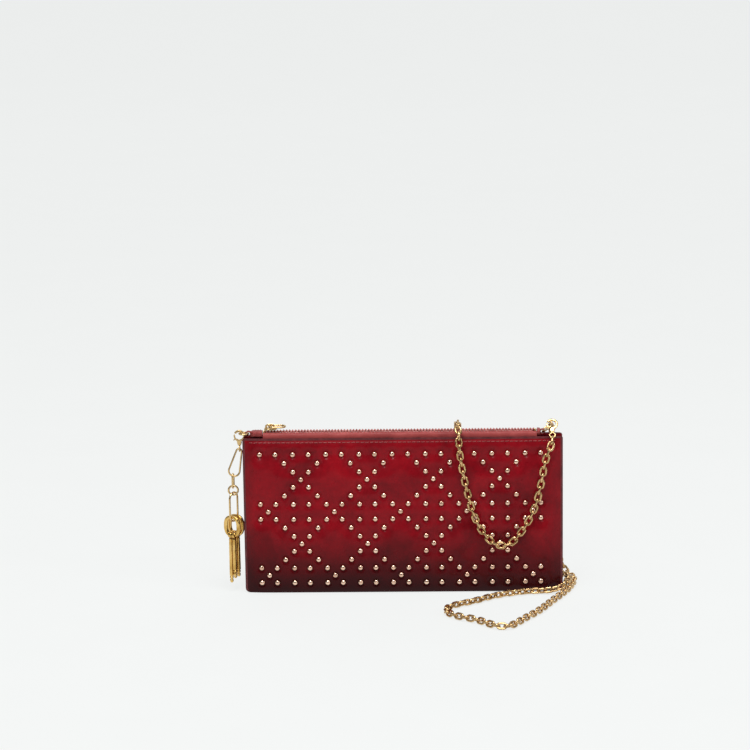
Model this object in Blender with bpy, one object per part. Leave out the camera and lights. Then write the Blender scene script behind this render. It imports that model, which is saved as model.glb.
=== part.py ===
"""Zipped clutch purse with a studded leather front, a chain strap and hanging charms.

Metres, +Z up. The origin is the centre of the base where the purse stands, the front faces -Y.
Sizes below are in millimetres and MM turns them into metres.
"""
import math

import bmesh
import bpy
from mathutils import Euler, Vector

MM = 0.001
GAP = 0.3

# Body
HALF_WIDTH = 105.0
FLAT_HALF_WIDTH = 97.0
BODY_HEIGHT = 105.0
FLAT_LOW = 4.6
FLAT_HIGH = 97.0
LEATHER = 1.2
FRONT_FACE = -9.0
FRONT_FOOT = -8.2
BACK_FACE = 7.5
BACK_FOOT = 6.5
RIM = 4.6
TOP_EDGE = 6.2
BASE_THICK = 1.0
PANEL_FOOT = BASE_THICK + GAP

# Stud pattern: diamonds of one pitch, with close pairs where their sides meet the rows
PITCH = 43.5
PAIR = 10.2
PATTERN_X = -1.7
PATTERN_LOW = 12.25
STUD_BASE_R = 1.85
STUD_TIP_R = 1.2
STUD_TIP = -10.5
HOLE_R = 2.2
BACKING_FRONT = -7.4
BACKING_BACK = -7.1

# Zip
TAPE_THICK = 0.8
TAPE_LEFT = -91.5
TAPE_RIGHT = 88.0
TAPE_LOW = 97.2
TOOTH_PITCH = 2.0
TOOTH_WIDE = 0.9
TEETH_LOW = 107.3
TEETH_HIGH = 109.2
TEETH_TIP = 0.6
TEETH_ROOT = 2.2
TEETH_LEFT = -89.5
TEETH_COUNT = 88
SLIDER_X = -86.5
PULL_WIDE = 6.2
PULL_LONG = 10.6
PULL_WIRE = 0.6

# Hardware at the ends of the zip
TAB_THICK_LOW = 105.4
TAB_THICK_HIGH = 108.4
RING_Z = 107.0
RING_MAJOR = 3.0
RING_WIRE = 0.6
LEFT_LOOP_X = -101.2
RIGHT_LOOP_X = 91.8
RIGHT_RING_MAJOR = 4.0
RIGHT_RING_TILT = math.radians(38)

# Lobster clasp, measured from the wire that it hangs on
CLAW_IN = 2.5
CLAW_OUT = 3.9
CLAW_DROP = 1.45
CLASP_THICK = 1.5
CLASP_EYE = 10.05
EYE_MAJOR = 1.8
EYE_WIRE = 0.55
CLASP_LEAN = math.radians(-46)

# Charms
CHARM_X = -112.0
LINK_WIRE = 0.65
CHARM_TURN = math.radians(-30)
SMALL_LINK_TURN = math.radians(80)
ROUND_LINK_TURN = math.radians(5)
LONG_LINK_TURN = math.radians(58)
PEAR_TALL = 19.0
PEAR_TOP_RADIUS = 1.8
PEAR_LOW_RADIUS = 3.6
SMALL_LINK_WIRE = 0.55
SMALL_LINK_WIDE = 4.2
SMALL_LINK_TALL = 9.5
ROUND_LINK_RADIUS = 3.1
LONG_LINK_WIDE = 8.6
LONG_LINK_TALL = 19.4
CHARM_RING_WIRE = 1.1
CHARM_RING_WIDE = 10.0
CHARM_RING_TALL = 12.3
CHARM_RING_SPACING = 4.3
SQUARENESS = 0.77
BAR_WIDE = 2.4
BAR_SPREAD = 1.35

# Chain strap
CHAIN_R = 1.6
CHAIN_STEP = 9.0

pivots = {}


def clear_scene():
    for thing in list(bpy.data.objects):
        bpy.data.objects.remove(thing, do_unlink=True)


def make_material(name, colour, roughness, metallic=0.0):
    material = bpy.data.materials.new(name)
    material.use_nodes = True
    shader = material.node_tree.nodes["Principled BSDF"]
    shader.inputs["Base Color"].default_value = (*colour, 1.0)
    shader.inputs["Roughness"].default_value = roughness
    shader.inputs["Metallic"].default_value = metallic
    return material


def pivot(name, place, parent=None):
    """An empty on a joint's axis, for the pieces that move with it."""
    empty = bpy.data.objects.new(name, None)
    empty.empty_display_size = 4 * MM
    bpy.context.collection.objects.link(empty)
    pivots[name] = Vector(place)
    attach(empty, parent, place)
    return empty


def attach(thing, parent, place=(0, 0, 0)):
    """Puts a thing at a world place in millimetres, under its parent empty."""
    home = Vector(place)
    if parent is not None:
        thing.parent = parent
        home = home - pivots[parent.name]
    thing.location = home * MM


def add_object(name, bm, material, parent=None, place=(0, 0, 0), turn=(0, 0, 0), smooth=False):
    """Turns a bmesh in millimetres into a named object."""
    bmesh.ops.recalc_face_normals(bm, faces=bm.faces)
    bmesh.ops.scale(bm, vec=(MM, MM, MM), verts=bm.verts)
    mesh = bpy.data.meshes.new(name)
    bm.to_mesh(mesh)
    bm.free()
    mesh.materials.append(material)
    if smooth:
        mesh.shade_smooth()
        mesh.set_sharp_from_angle(angle=math.radians(40))
    thing = bpy.data.objects.new(name, mesh)
    bpy.context.collection.objects.link(thing)
    attach(thing, parent, place)
    thing.rotation_euler = turn
    return thing


def guide(thing):
    """A solid that only cuts or joins another one."""
    thing.hide_render = True
    thing.display_type = "WIRE"
    return thing


def combine(thing, other, operation):
    boolean = thing.modifiers.new(operation.title(), "BOOLEAN")
    boolean.operation = operation
    boolean.solver = "EXACT"
    boolean.object = guide(other)


def block_mesh(bm, low, high):
    size = [b - a for a, b in zip(low, high)]
    middle = [(a + b) / 2 for a, b in zip(low, high)]
    made = bmesh.ops.create_cube(bm, size=1.0)
    bmesh.ops.scale(bm, vec=size, verts=made["verts"])
    bmesh.ops.translate(bm, vec=middle, verts=made["verts"])


def block(name, low, high, material, parent=None):
    bm = bmesh.new()
    block_mesh(bm, low, high)
    return add_object(name, bm, material, parent)


def extruded(name, outline, to_space, low, high, material, parent=None, **extra):
    """A flat outline pulled from low to high; to_space(u, v, w) places a point."""
    bm = bmesh.new()
    near = [bm.verts.new(to_space(u, v, low)) for u, v in outline]
    far = [bm.verts.new(to_space(u, v, high)) for u, v in outline]
    bm.faces.new(near)
    bm.faces.new(reversed(far))
    count = len(outline)
    for i in range(count):
        j = (i + 1) % count
        bm.faces.new((near[i], far[i], far[j], near[j]))
    return add_object(name, bm, material, parent, **extra)


def along_x(y, z, x):
    return (x, y, z)


def along_y(x, z, y):
    return (x, y, z)


def along_z(x, y, z):
    return (x, y, z)


def thick_line(path, thickness):
    """The closed outline of a line of points, thickened to its left."""
    points = [Vector(p) for p in path]
    shifted = []
    for i, point in enumerate(points):
        before = (point - points[i - 1]).normalized() if i > 0 else None
        after = (points[i + 1] - point).normalized() if i < len(points) - 1 else None
        heading = ((before or after) + (after or before)).normalized()
        normal = Vector((-heading.y, heading.x))
        stretch = 1.0 / max(0.5, normal.dot(Vector((-(after or before).y, (after or before).x))))
        shifted.append(point + normal * thickness * stretch)
    return [tuple(p) for p in points] + [tuple(p) for p in reversed(shifted)]


def ring_outline(radius, count, start=0.0):
    return [(radius * math.cos(start + math.tau * i / count),
             radius * math.sin(start + math.tau * i / count)) for i in range(count)]


def oval_outline(wide, tall, count):
    """A link's centre line: two half circles joined by straight sides, in X and Z."""
    radius = wide / 2
    lift = tall / 2 - radius
    points = []
    for i in range(count):
        angle = math.tau * (i + 0.5) / count
        x = radius * math.cos(angle)
        z = radius * math.sin(angle) + math.copysign(lift, math.sin(angle))
        points.append((x, z))
    return points


def squared_outline(wide, tall, count):
    """A link's centre line with flatter ends than an oval."""
    points = []
    for i in range(count):
        angle = math.tau * (i + 0.5) / count
        c = math.cos(angle)
        s = math.sin(angle)
        x = wide / 2 * math.copysign(abs(c) ** SQUARENESS, c)
        z = tall / 2 * math.copysign(abs(s) ** SQUARENESS, s)
        points.append((x, z))
    return points


def pear_outline(top_radius, low_radius, tall, count):
    """A pear-shaped link's centre line, from its top at Z = 0 down."""
    apart = tall - top_radius - low_radius
    slope = math.asin((low_radius - top_radius) / apart)
    points = []
    for radius, middle, first, last in ((top_radius, -top_radius, slope, math.pi - slope),
                                        (low_radius, low_radius - tall, math.pi - slope, math.tau + slope)):
        for i in range(count):
            angle = first + (last - first) * i / (count - 1)
            points.append((radius * math.cos(angle), middle + radius * math.sin(angle)))
    return points


def wire_loop(name, outline, wire, material, parent, place, turn=(0, 0, 0), sides=6):
    """A closed wire that follows a flat outline in its own X and Z."""
    bm = bmesh.new()
    count = len(outline)
    rings = []
    for i, (x, z) in enumerate(outline):
        ahead = Vector(outline[(i + 1) % count]) - Vector(outline[i - 1])
        outward = Vector((ahead.y, -ahead.x)).normalized()
        ring = []
        for k in range(sides):
            angle = math.tau * (k + 0.5) / sides
            out = wire * math.cos(angle)
            ring.append(bm.verts.new((x + outward.x * out, wire * math.sin(angle), z + outward.y * out)))
        rings.append(ring)
    for i in range(count):
        this, following = rings[i], rings[(i + 1) % count]
        for k in range(sides):
            m = (k + 1) % sides
            bm.faces.new((this[k], this[m], following[m], following[k]))
    return add_object(name, bm, material, parent, place, turn, smooth=True)


def through_points(route, step):
    """Points a step apart on a smooth curve through the route's own points."""
    points = [Vector(p) for p in route]
    ends = [2 * points[0] - points[1]] + points + [2 * points[-1] - points[-2]]
    dense = []
    for i in range(1, len(ends) - 2):
        a, b, c, d = ends[i - 1:i + 3]
        for k in range(12):
            t = k / 12
            dense.append(0.5 * (2 * b + (c - a) * t + (2 * a - 5 * b + 4 * c - d) * t * t
                                + (3 * b - a - 3 * c + d) * t ** 3))
    dense.append(points[-1])
    total = sum((q - p).length for p, q in zip(dense, dense[1:]))
    count = max(2, round(total / step))
    spaced = [dense[0]]
    walked = 0.0
    for p, q in zip(dense, dense[1:]):
        piece = (q - p).length
        while len(spaced) < count and walked + piece >= total * len(spaced) / count:
            spaced.append(p.lerp(q, (total * len(spaced) / count - walked) / piece))
        walked += piece
    spaced.append(dense[-1])
    return spaced


def tube(name, route, material, parent=None):
    """A stretch of the chain strap, as a plain round tube."""
    curve = bpy.data.curves.new(name, "CURVE")
    curve.dimensions = "3D"
    curve.bevel_depth = CHAIN_R * MM
    curve.bevel_resolution = 2
    curve.use_fill_caps = True
    spline = curve.splines.new("POLY")
    points = through_points(route, CHAIN_STEP)
    spline.points.add(len(points) - 1)
    home = pivots[parent.name] if parent else Vector((0, 0, 0))
    for target, point in zip(spline.points, points):
        target.co = (*((point - home) * MM), 1.0)
    curve.materials.append(material)
    thing = bpy.data.objects.new(name, curve)
    bpy.context.collection.objects.link(thing)
    attach(thing, parent, home if parent else (0, 0, 0))
    return thing


def panel(name, face, foot, side, material, parent=None):
    """A dished leather panel: flat in the middle, its four edges turned inwards."""
    columns = (-HALF_WIDTH, -FLAT_HALF_WIDTH, FLAT_HALF_WIDTH, HALF_WIDTH)
    rows = (PANEL_FOOT, FLAT_LOW, FLAT_HIGH, BODY_HEIGHT)
    foot_by_row = (foot, face, face, side * TOP_EDGE)
    bm = bmesh.new()
    sheets = []
    for inset in (0.0, LEATHER):
        sheet = []
        for z, depth in zip(rows, foot_by_row):
            row = []
            for x in columns:
                at_side = abs(x) > FLAT_HALF_WIDTH
                y = side * RIM if at_side else depth
                row.append(bm.verts.new((x, y - side * inset, z)))
            sheet.append(row)
        sheets.append(sheet)
    outer, inner = sheets
    for j in range(3):
        for i in range(3):
            bm.faces.new((outer[j][i], outer[j][i + 1], outer[j + 1][i + 1], outer[j + 1][i]))
            bm.faces.new((inner[j][i], inner[j + 1][i], inner[j + 1][i + 1], inner[j][i + 1]))
    for j in range(3):
        for i in (0, 3):
            bm.faces.new((outer[j][i], outer[j + 1][i], inner[j + 1][i], inner[j][i]))
    for i in range(3):
        for j in (0, 3):
            bm.faces.new((outer[j][i], outer[j][i + 1], inner[j][i + 1], inner[j][i]))
    bmesh.ops.triangulate(bm, faces=bm.faces, quad_method="FIXED")
    return add_object(name, bm, material, parent)


def stud_places():
    """Every stud's X and Z."""
    half = PITCH / 2
    near = PAIR / 2
    low, middle, high = (PATTERN_LOW + k * PITCH for k in range(3))
    rows = (high - near, middle + near, middle - near, low + near, low - near)
    places = []
    for k in range(-4, 5):
        for z in rows:
            places += [(k * half - near, z), (k * half + near, z)]
    for k in range(-4, 4):
        for level in range(4):
            places.append(((k + 0.5) * half, PATTERN_LOW + (level + 0.5) * half))
    for k in (-3, -1, 1, 3):
        for z in (low + half, middle + half):
            x = k * half
            places.append((x, z))
            places += [(x + sx * near, z + sz * near) for sx in (-1, 1) for sz in (-1, 1)]
    for k in (-4, -2, 0, 2, 4):
        places += [(k * half, low), (k * half, middle)]
    return [(x + PATTERN_X, z) for x, z in places]


def pegs(name, radius_back, radius_front, back, front, material, parent):
    """Short six-sided pegs at all the stud places, in one mesh."""
    bm = bmesh.new()
    for x, z in stud_places():
        rings = []
        for y, radius in ((back, radius_back), (front, radius_front)):
            rings.append([bm.verts.new((x + u, y, z + v)) for u, v in ring_outline(radius, 6)])
        bm.faces.new(rings[0])
        bm.faces.new(reversed(rings[1]))
        for i in range(6):
            j = (i + 1) % 6
            bm.faces.new((rings[0][i], rings[1][i], rings[1][j], rings[0][j]))
    return add_object(name, bm, material, parent)


def studded_front(parent, leather, brass):
    front = panel("front_panel", FRONT_FACE, FRONT_FOOT, -1, leather, parent)
    holes = pegs("stud_holes", HOLE_R, HOLE_R, FRONT_FACE + LEATHER + 1, FRONT_FACE - 1, leather, parent)
    combine(front, holes, "DIFFERENCE")
    backing = block("studs", (-FLAT_HALF_WIDTH + 1, BACKING_FRONT, 4.9),
                    (FLAT_HALF_WIDTH - 1, BACKING_BACK, FLAT_HIGH - 0.5), brass, parent)
    posts = pegs("stud_posts", STUD_BASE_R, STUD_TIP_R, (BACKING_FRONT + BACKING_BACK) / 2, STUD_TIP,
                 brass, parent)
    combine(backing, posts, "UNION")


def tape(name, side, material, parent=None):
    """Half of the zip's tape: up inside the panel's top edge, then in to the teeth."""
    path = [(side * 4.6, TAPE_LOW), (side * 4.6, 104.8), (side * 2.6, 107.0)]
    if side > 0:
        outline = thick_line(path, TAPE_THICK)
    else:
        outline = thick_line(path, -TAPE_THICK)
    extruded(name, outline, along_x, TAPE_LEFT, TAPE_RIGHT, material, parent)


def teeth(name, side, shift, material, parent=None):
    """A row of teeth on one spine, seen from above as a comb."""
    outline = []
    for k in range(TEETH_COUNT):
        x = TEETH_LEFT + shift + k * TOOTH_PITCH
        outline += [(x, side * 1.5), (x, side * TEETH_TIP),
                    (x + TOOTH_WIDE, side * TEETH_TIP), (x + TOOTH_WIDE, side * 1.5)]
    outline += [(outline[-1][0] + 0.4, side * 1.5), (outline[-1][0] + 0.4, side * TEETH_ROOT),
                (outline[0][0] - 0.4, side * TEETH_ROOT), (outline[0][0] - 0.4, side * 1.5)]
    extruded(name, outline, along_z, TEETH_LOW, TEETH_HIGH, material, parent)


def slider(parent, brass):
    """Top plate, bottom plate, the post between the two rows, and the bail for the puller."""
    x = SLIDER_X
    low = TEETH_HIGH + 0.5
    high = TEETH_HIGH + 1.5
    top = block("zip_slider", (x - 4.2, -3.3, low), (x + 4.2, 3.3, high), brass, parent)
    blocks = {
        "slider_post": ((x - 3.8, -0.3, 105.2), (x - 0.6, 0.3, low + 0.3)),
        "slider_bottom": ((x - 4.0, -1.7, 105.0), (x + 3.2, 1.7, 105.9)),
        "slider_bail_left": ((x - 3.4, -0.7, low + 0.3), (x - 2.4, 0.7, high + 2.6)),
        "slider_bail_right": ((x + 1.6, -0.7, low + 0.3), (x + 2.6, 0.7, high + 2.6)),
        "slider_bail_top": ((x - 3.4, -0.7, high + 1.8), (x + 2.6, 0.7, high + 2.6)),
    }
    for name, (start, end) in blocks.items():
        combine(top, block(name, start, end, brass, parent), "UNION")
    return high


def end_tab(name, loop_x, inner_x, material, parent):
    """A folded leather tab with a narrow nose that holds the ring's wire."""
    side = math.copysign(1, loop_x)
    nose_x = loop_x - side * 2.0
    low = TAB_THICK_LOW
    high = TAB_THICK_HIGH
    wide = block(name, (min(inner_x, nose_x), -3.8, low), (max(inner_x, nose_x), 3.8, high), material, parent)
    nose_end = loop_x + side * 1.8
    start = nose_x - side
    nose = block(name + "_nose", (min(start, nose_end), -1.5, RING_Z - 1.75),
                 (max(start, nose_end), 1.5, RING_Z + 1.75), material, parent)
    combine(wide, nose, "UNION")
    hole = extruded(name + "_hole", ring_outline(1.2, 8, math.pi / 8), along_y, -4, 4, material, parent,
                    place=(loop_x, 0, RING_Z))
    combine(wide, hole, "DIFFERENCE")


def clasp_outline():
    """The claw and body of a lobster clasp, with the gap that its gate closes."""
    gap_low = math.radians(-48)
    gap_high = math.radians(30)
    foot = math.radians(-66)
    neck = math.radians(250)
    middle = -CLAW_DROP
    outline = []
    for i in range(13):
        angle = gap_high + (neck - gap_high) * i / 12
        outline.append((CLAW_OUT * math.cos(angle), middle + CLAW_OUT * math.sin(angle)))
    outline += [(-1.1, -CLASP_EYE + 2.0), (1.1, -CLASP_EYE + 2.0)]
    for i in range(2):
        angle = foot + (gap_low - foot) * i
        outline.append((CLAW_OUT * math.cos(angle), middle + CLAW_OUT * math.sin(angle)))
    for i in range(13):
        angle = gap_low + math.tau - (math.tau + gap_low - gap_high) * i / 12
        outline.append((CLAW_IN * math.cos(angle), middle + CLAW_IN * math.sin(angle)))
    return outline


def gate_outline():
    """The gate, measured from its pin: an arc that closes the claw, with a thumb lever at its foot."""
    pin = gate_pin()
    corners = ((4.9, -43), (4.9, -35), (3.75, -29), (3.75, -14), (3.75, 0), (3.75, 14),
               (2.75, 14), (2.75, -4), (2.75, -23), (2.75, -43))
    outline = []
    for radius, degrees in corners:
        angle = math.radians(degrees)
        outline.append((radius * math.cos(angle) - pin[0], -CLAW_DROP + radius * math.sin(angle) - pin[1]))
    return outline


def gate_pin():
    angle = math.radians(-44)
    return (3.2 * math.cos(angle), -CLAW_DROP + 3.2 * math.sin(angle))


def clasp(name, place, lean, mirror, brass, parent):
    """A lobster clasp hung on a wire at place; lean tips its tail about X."""
    turn = (lean, 0, 0)
    half = CLASP_THICK / 2
    claw = [(mirror * x, z) for x, z in clasp_outline()]
    body = extruded(name, claw, along_y, -half, half, brass, parent, place=place, turn=turn)
    down = Vector((0, 0, -CLASP_EYE))
    down.rotate(Euler(turn))
    eye = wire_loop(name + "_eye", ring_outline(EYE_MAJOR, 12), EYE_WIRE, brass, parent,
                    tuple(Vector(place) + down), (lean, 0, math.pi / 2) if lean == 0 else turn)
    combine(body, eye, "UNION")
    pin = Vector((mirror * gate_pin()[0], 0, gate_pin()[1]))
    pin.rotate(Euler(turn))
    hinge = pivot(name + "_gate_pivot", tuple(Vector(place) + pin), parent)
    lever = [(mirror * x, z) for x, z in gate_outline()]
    extruded(name + "_gate", lever, along_y, -0.6, 0.6, brass, hinge,
             place=tuple(Vector(place) + pin), turn=turn)


def bar(name, length, place, turn, brass, parent):
    """A slim bar with an eye at its top, bored along its own X."""
    count = 12
    inner = ring_outline(1.45, count, math.radians(-90 + 15))
    outer = ring_outline(2.05, count, math.radians(-90 + 15))
    outer[0] = (1.0, -length)
    outer[-1] = (-1.0, -length)
    half = BAR_WIDE / 2
    bm = bmesh.new()
    loops = []
    for x in (-half, half):
        for outline in (inner, outer):
            loops.append([bm.verts.new((x, y, z)) for y, z in outline])
    for i in range(count):
        j = (i + 1) % count
        for a, b in ((0, 1), (2, 3), (0, 2), (1, 3)):
            bm.faces.new((loops[a][i], loops[a][j], loops[b][j], loops[b][i]))
    add_object(name, bm, brass, parent, place, turn)


def charms(ring, brass):
    """The charm clasp and all that hangs below it."""
    wire_x = LEFT_LOOP_X - 2 * RING_MAJOR
    hook = (wire_x, 0, RING_Z)
    clasp_pivot = pivot("charm_clasp_pivot", hook, ring)
    clasp("charm_clasp", hook, 0.0, -1, brass, clasp_pivot)

    eye_low = RING_Z - CLASP_EYE - EYE_MAJOR
    pear_pivot = pivot("charm_loop_pivot", (wire_x, 0, eye_low), clasp_pivot)
    pear_top = eye_low + EYE_WIRE + LINK_WIRE + GAP
    lean = math.asin((wire_x - CHARM_X) / PEAR_TALL)
    outline = pear_outline(PEAR_TOP_RADIUS, PEAR_LOW_RADIUS, PEAR_TALL, 9)
    wire_loop("charm_loop", outline, LINK_WIRE, brass, pear_pivot, (wire_x, 0, pear_top), (0, lean, 0))
    pear_low = pear_top - PEAR_TALL * math.cos(lean)

    small_pivot = pivot("charm_link_small_pivot", (CHARM_X, 0, pear_low), pear_pivot)
    small_top = pear_low + SMALL_LINK_WIRE + LINK_WIRE + GAP
    wire_loop("charm_link_small", oval_outline(SMALL_LINK_WIDE, SMALL_LINK_TALL, 14), SMALL_LINK_WIRE,
              brass, small_pivot, (CHARM_X, 0, small_top - SMALL_LINK_TALL / 2), (0, 0, SMALL_LINK_TURN))
    small_low = small_top - SMALL_LINK_TALL

    round_pivot = pivot("charm_link_round_pivot", (CHARM_X, 0, small_low), small_pivot)
    round_top = small_low + SMALL_LINK_WIRE + LINK_WIRE + GAP
    wire_loop("charm_link_round", ring_outline(ROUND_LINK_RADIUS, 16), LINK_WIRE, brass, round_pivot,
              (CHARM_X, 0, round_top - ROUND_LINK_RADIUS), (0, 0, ROUND_LINK_TURN))
    round_low = round_top - 2 * ROUND_LINK_RADIUS

    long_pivot = pivot("charm_link_long_pivot", (CHARM_X, 0, round_low), round_pivot)
    long_top = round_low + 2 * LINK_WIRE + GAP
    wire_loop("charm_link_long", oval_outline(LONG_LINK_WIDE, LONG_LINK_TALL, 20), LINK_WIRE, brass,
              long_pivot, (CHARM_X, 0, long_top - LONG_LINK_TALL / 2), (0, 0, LONG_LINK_TURN))
    long_low = long_top - LONG_LINK_TALL

    across = Vector((math.cos(LONG_LINK_TURN), math.sin(LONG_LINK_TURN), 0))
    along = Vector((math.cos(CHARM_TURN), math.sin(CHARM_TURN), 0))
    bars = {("front", -1): 33.0, ("front", 1): 28.5, ("back", -1): 31.0, ("back", 1): 29.5}
    for label, side in (("front", -1), ("back", 1)):
        home = Vector((CHARM_X, 0, 0)) + across * side * CHARM_RING_SPACING / 2
        bend = LONG_LINK_WIDE / 2
        lift = bend - math.sqrt(bend ** 2 - (CHARM_RING_SPACING / 2) ** 2)
        hang = Vector((home.x, home.y, long_low + lift))
        ring_pivot = pivot("charm_ring_" + label + "_pivot", tuple(hang), long_pivot)
        top = hang.z + LINK_WIRE + CHARM_RING_WIRE + 0.55
        outline = squared_outline(CHARM_RING_WIDE, CHARM_RING_TALL, 24)
        middle = top - CHARM_RING_TALL / 2
        wire_loop("charm_ring_" + label, outline, CHARM_RING_WIRE, brass, ring_pivot,
                  (home.x, home.y, middle), (0, 0, CHARM_TURN), 8)
        low = top - CHARM_RING_TALL
        for hand, word in ((-1, "left"), (1, "right")):
            spot = home + along * hand * BAR_SPREAD
            name = "charm_bar_" + label + "_" + word
            bar_pivot = pivot(name + "_pivot", (spot.x, spot.y, low + 0.2), ring_pivot)
            bar(name, bars[(label, hand)], (spot.x, spot.y, low + 0.2), (0, 0, CHARM_TURN), brass, bar_pivot)


def chain(front, brass):
    """The strap's runs, front to floor and back up to the clasp."""
    lie = STUD_TIP - GAP - 2.4
    tube("chain_front", [
        (97.6, -9.8, 103.0), (96.6, -12.3, 99.4), (94.2, lie, 93.6), (92.3, lie, 86.0),
        (91.2, lie, 79.0), (89.6, lie, 71.5), (87.9, lie, 64.0), (85.2, lie, 56.3),
        (81.6, lie, 49.0), (77.3, lie, 42.3), (72.4, lie, 36.3), (66.3, lie, 33.3),
        (60.0, lie, 34.5), (54.6, lie, 39.4), (49.9, lie, 46.3), (46.3, lie, 54.5),
        (43.9, lie, 62.5), (41.9, lie, 71.0), (39.9, lie, 80.0), (38.4, lie, 88.4), (37.4, lie, 96.0),
        (36.9, -12.4, 102.3), (36.7, -9.6, 107.6), (36.5, -6.9, 110.5), (36.4, -4.7, 111.7)], brass, front)
    tube("chain_over", [(36.4, -3.5, 112.1), (36.3, -0.5, 112.6), (36.3, 3.0, 112.1), (36.3, 6.3, 110.3),
                        (36.4, 9.0, 106.8)], brass)
    tube("chain_back", [(36.5, 9.7, 105.6), (36.8, 10.5, 99.5), (37.5, 10.8, 88.0), (39.0, 10.9, 70.0),
                        (41.0, 11.2, 50.0), (44.0, 12.0, 32.0), (48.5, 14.5, 17.0), (55.0, 19.0, 7.0),
                        (63.0, 24.0, 2.6), (74.0, 27.5, 2.2), (86.0, 27.0, 2.2), (97.0, 22.5, 2.4)], brass)
    tube("chain_floor", [
        (98.0, 22.0, 2.6), (103.5, 16.5, 4.4), (107.6, 9.0, 6.6), (108.6, 1.0, 7.4), (107.2, -7.4, 6.2),
        (102.0, -12.4, 3.8), (94.5, -13.0, 2.4), (87.0, -13.4, 2.2), (80.0, -14.6, 2.2), (72.5, -17.3, 2.2),
        (65.0, -20.7, 2.2), (57.5, -25.3, 2.2), (50.5, -31.5, 2.2), (43.0, -37.5, 2.2), (35.5, -42.5, 2.2),
        (30.0, -48.5, 2.2), (28.0, -56.0, 2.2), (30.5, -63.5, 2.2), (36.3, -69.5, 2.2), (43.5, -74.0, 2.2),
        (49.8, -79.5, 2.2), (55.5, -86.0, 2.2), (61.8, -90.6, 2.2), (68.3, -89.6, 2.2), (73.3, -82.6, 2.2),
        (79.5, -71.5, 2.2), (86.0, -60.5, 2.2), (91.6, -48.5, 2.2), (97.0, -35.7, 2.2), (102.6, -23.0, 2.2),
        (107.5, -11.0, 2.2), (111.0, 0.5, 2.2), (113.0, 12.0, 2.2), (111.5, 22.0, 2.2)], brass)
    tube("chain_rise", [(111.0, 23.4, 2.5), (107.5, 27.5, 5.0), (103.8, 26.0, 14.0), (101.5, 21.0, 28.0),
                        (100.2, 16.5, 46.0), (99.4, 13.2, 66.0), (98.9, 11.4, 84.0), (98.6, 10.6, 98.0),
                        (98.3, 9.6, 104.5)], brass)
    tube("chain_end", [(98.2, 9.1, 105.8), (98.0, 7.6, 108.6), (97.8, 4.9, 111.2)], brass)


def shell(leather, edge, lining, brass, coral):
    """The root: base, back, sides, back tape and back teeth."""
    block("bottom_panel", (-98, FRONT_FOOT, 0), (98, BACK_FOOT, BASE_THICK), leather)
    panel("back_panel", BACK_FACE, BACK_FOOT, 1, leather)
    block("back_lining", (-94, 5.3, 5), (94, 6.0, 96.5), lining)
    block("card_pocket", (-55, 4.1, 8), (55, 4.9, 70), lining)
    for name, side in (("gusset_left", -1), ("gusset_right", 1)):
        fold = [(side * 104, -3.0), (side * 98, 0), (side * 104, 3.0)]
        outline = thick_line(fold, -side * 0.8)
        extruded(name, outline, along_z, 3, 99, edge)
    tape("back_tape", 1, coral)
    teeth("back_teeth", 1, TOOTH_PITCH / 2, brass)
    block("zip_stop_back", (TEETH_LEFT - 1.2, 0.6, TEETH_LOW), (TEETH_LEFT + 0.2, 2.2, TEETH_HIGH), brass)


def front_half(parent, leather, lining, padding, brass, coral):
    studded_front(parent, leather, brass)
    block("front_padding", (-93, -6.7, 5), (93, -4.8, 95.5), padding, parent)
    block("front_lining", (-94, -4.4, 5), (94, -3.7, 96.5), lining, parent)
    tape("front_tape", -1, coral, parent)
    teeth("front_teeth", -1, 0.0, brass, parent)
    block("zip_stop_front", (TEETH_LEFT - 2.0, -2.2, TEETH_LOW), (TEETH_LEFT - 0.8, -0.6, TEETH_HIGH),
          brass, parent)
    right = TEETH_LEFT + TEETH_COUNT * TOOTH_PITCH
    block("zip_stop_end", (right, -2.2, TEETH_LOW), (right + 1.2, -0.6, TEETH_HIGH), brass, parent)
    end_tab("tab_left", LEFT_LOOP_X, -92.0, coral, parent)
    end_tab("tab_right", RIGHT_LOOP_X, 88.4, coral, parent)


def zip_and_pull(parent, brass):
    slide = pivot("zip_slide_pivot", (SLIDER_X, 0, TEETH_HIGH), parent)
    plate_top = slider(slide, brass)
    pull_x = SLIDER_X - 1.0
    pull_z = plate_top + 0.95
    pull = pivot("zip_pull_pivot", (pull_x, 0, pull_z), slide)
    wire_loop("zip_pull", oval_outline(PULL_WIDE, PULL_LONG, 16), PULL_WIRE, brass, pull,
              (pull_x + PULL_LONG / 2, 0, pull_z), (math.pi / 2, 0, math.pi / 2))


def hardware(front, brass):
    ring_turn = math.pi / 2
    left = pivot("ring_left_pivot", (LEFT_LOOP_X, 0, RING_Z), front)
    wire_loop("ring_left", ring_outline(RING_MAJOR, 16), RING_WIRE, brass, left,
              (LEFT_LOOP_X - RING_MAJOR, 0, RING_Z), (ring_turn, 0, 0))
    charms(left, brass)
    right = pivot("ring_right_pivot", (RIGHT_LOOP_X, 0, RING_Z), front)
    out = Vector((math.cos(RIGHT_RING_TILT), 0, math.sin(RIGHT_RING_TILT)))
    home = Vector((RIGHT_LOOP_X, 0, RING_Z))
    wire_loop("ring_right", ring_outline(RIGHT_RING_MAJOR, 18), RING_WIRE, brass, right,
              tuple(home + out * RIGHT_RING_MAJOR), (ring_turn, -RIGHT_RING_TILT, 0))
    hook = tuple(home + out * 2 * RIGHT_RING_MAJOR)
    strap = pivot("strap_clasp_pivot", hook, right)
    up = Vector((0, 0, CLAW_DROP - 0.2))
    up.rotate(Euler((CLASP_LEAN, 0, 0)))
    clasp("strap_clasp", tuple(Vector(hook) + up), CLASP_LEAN, -1, brass, strap)


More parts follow.
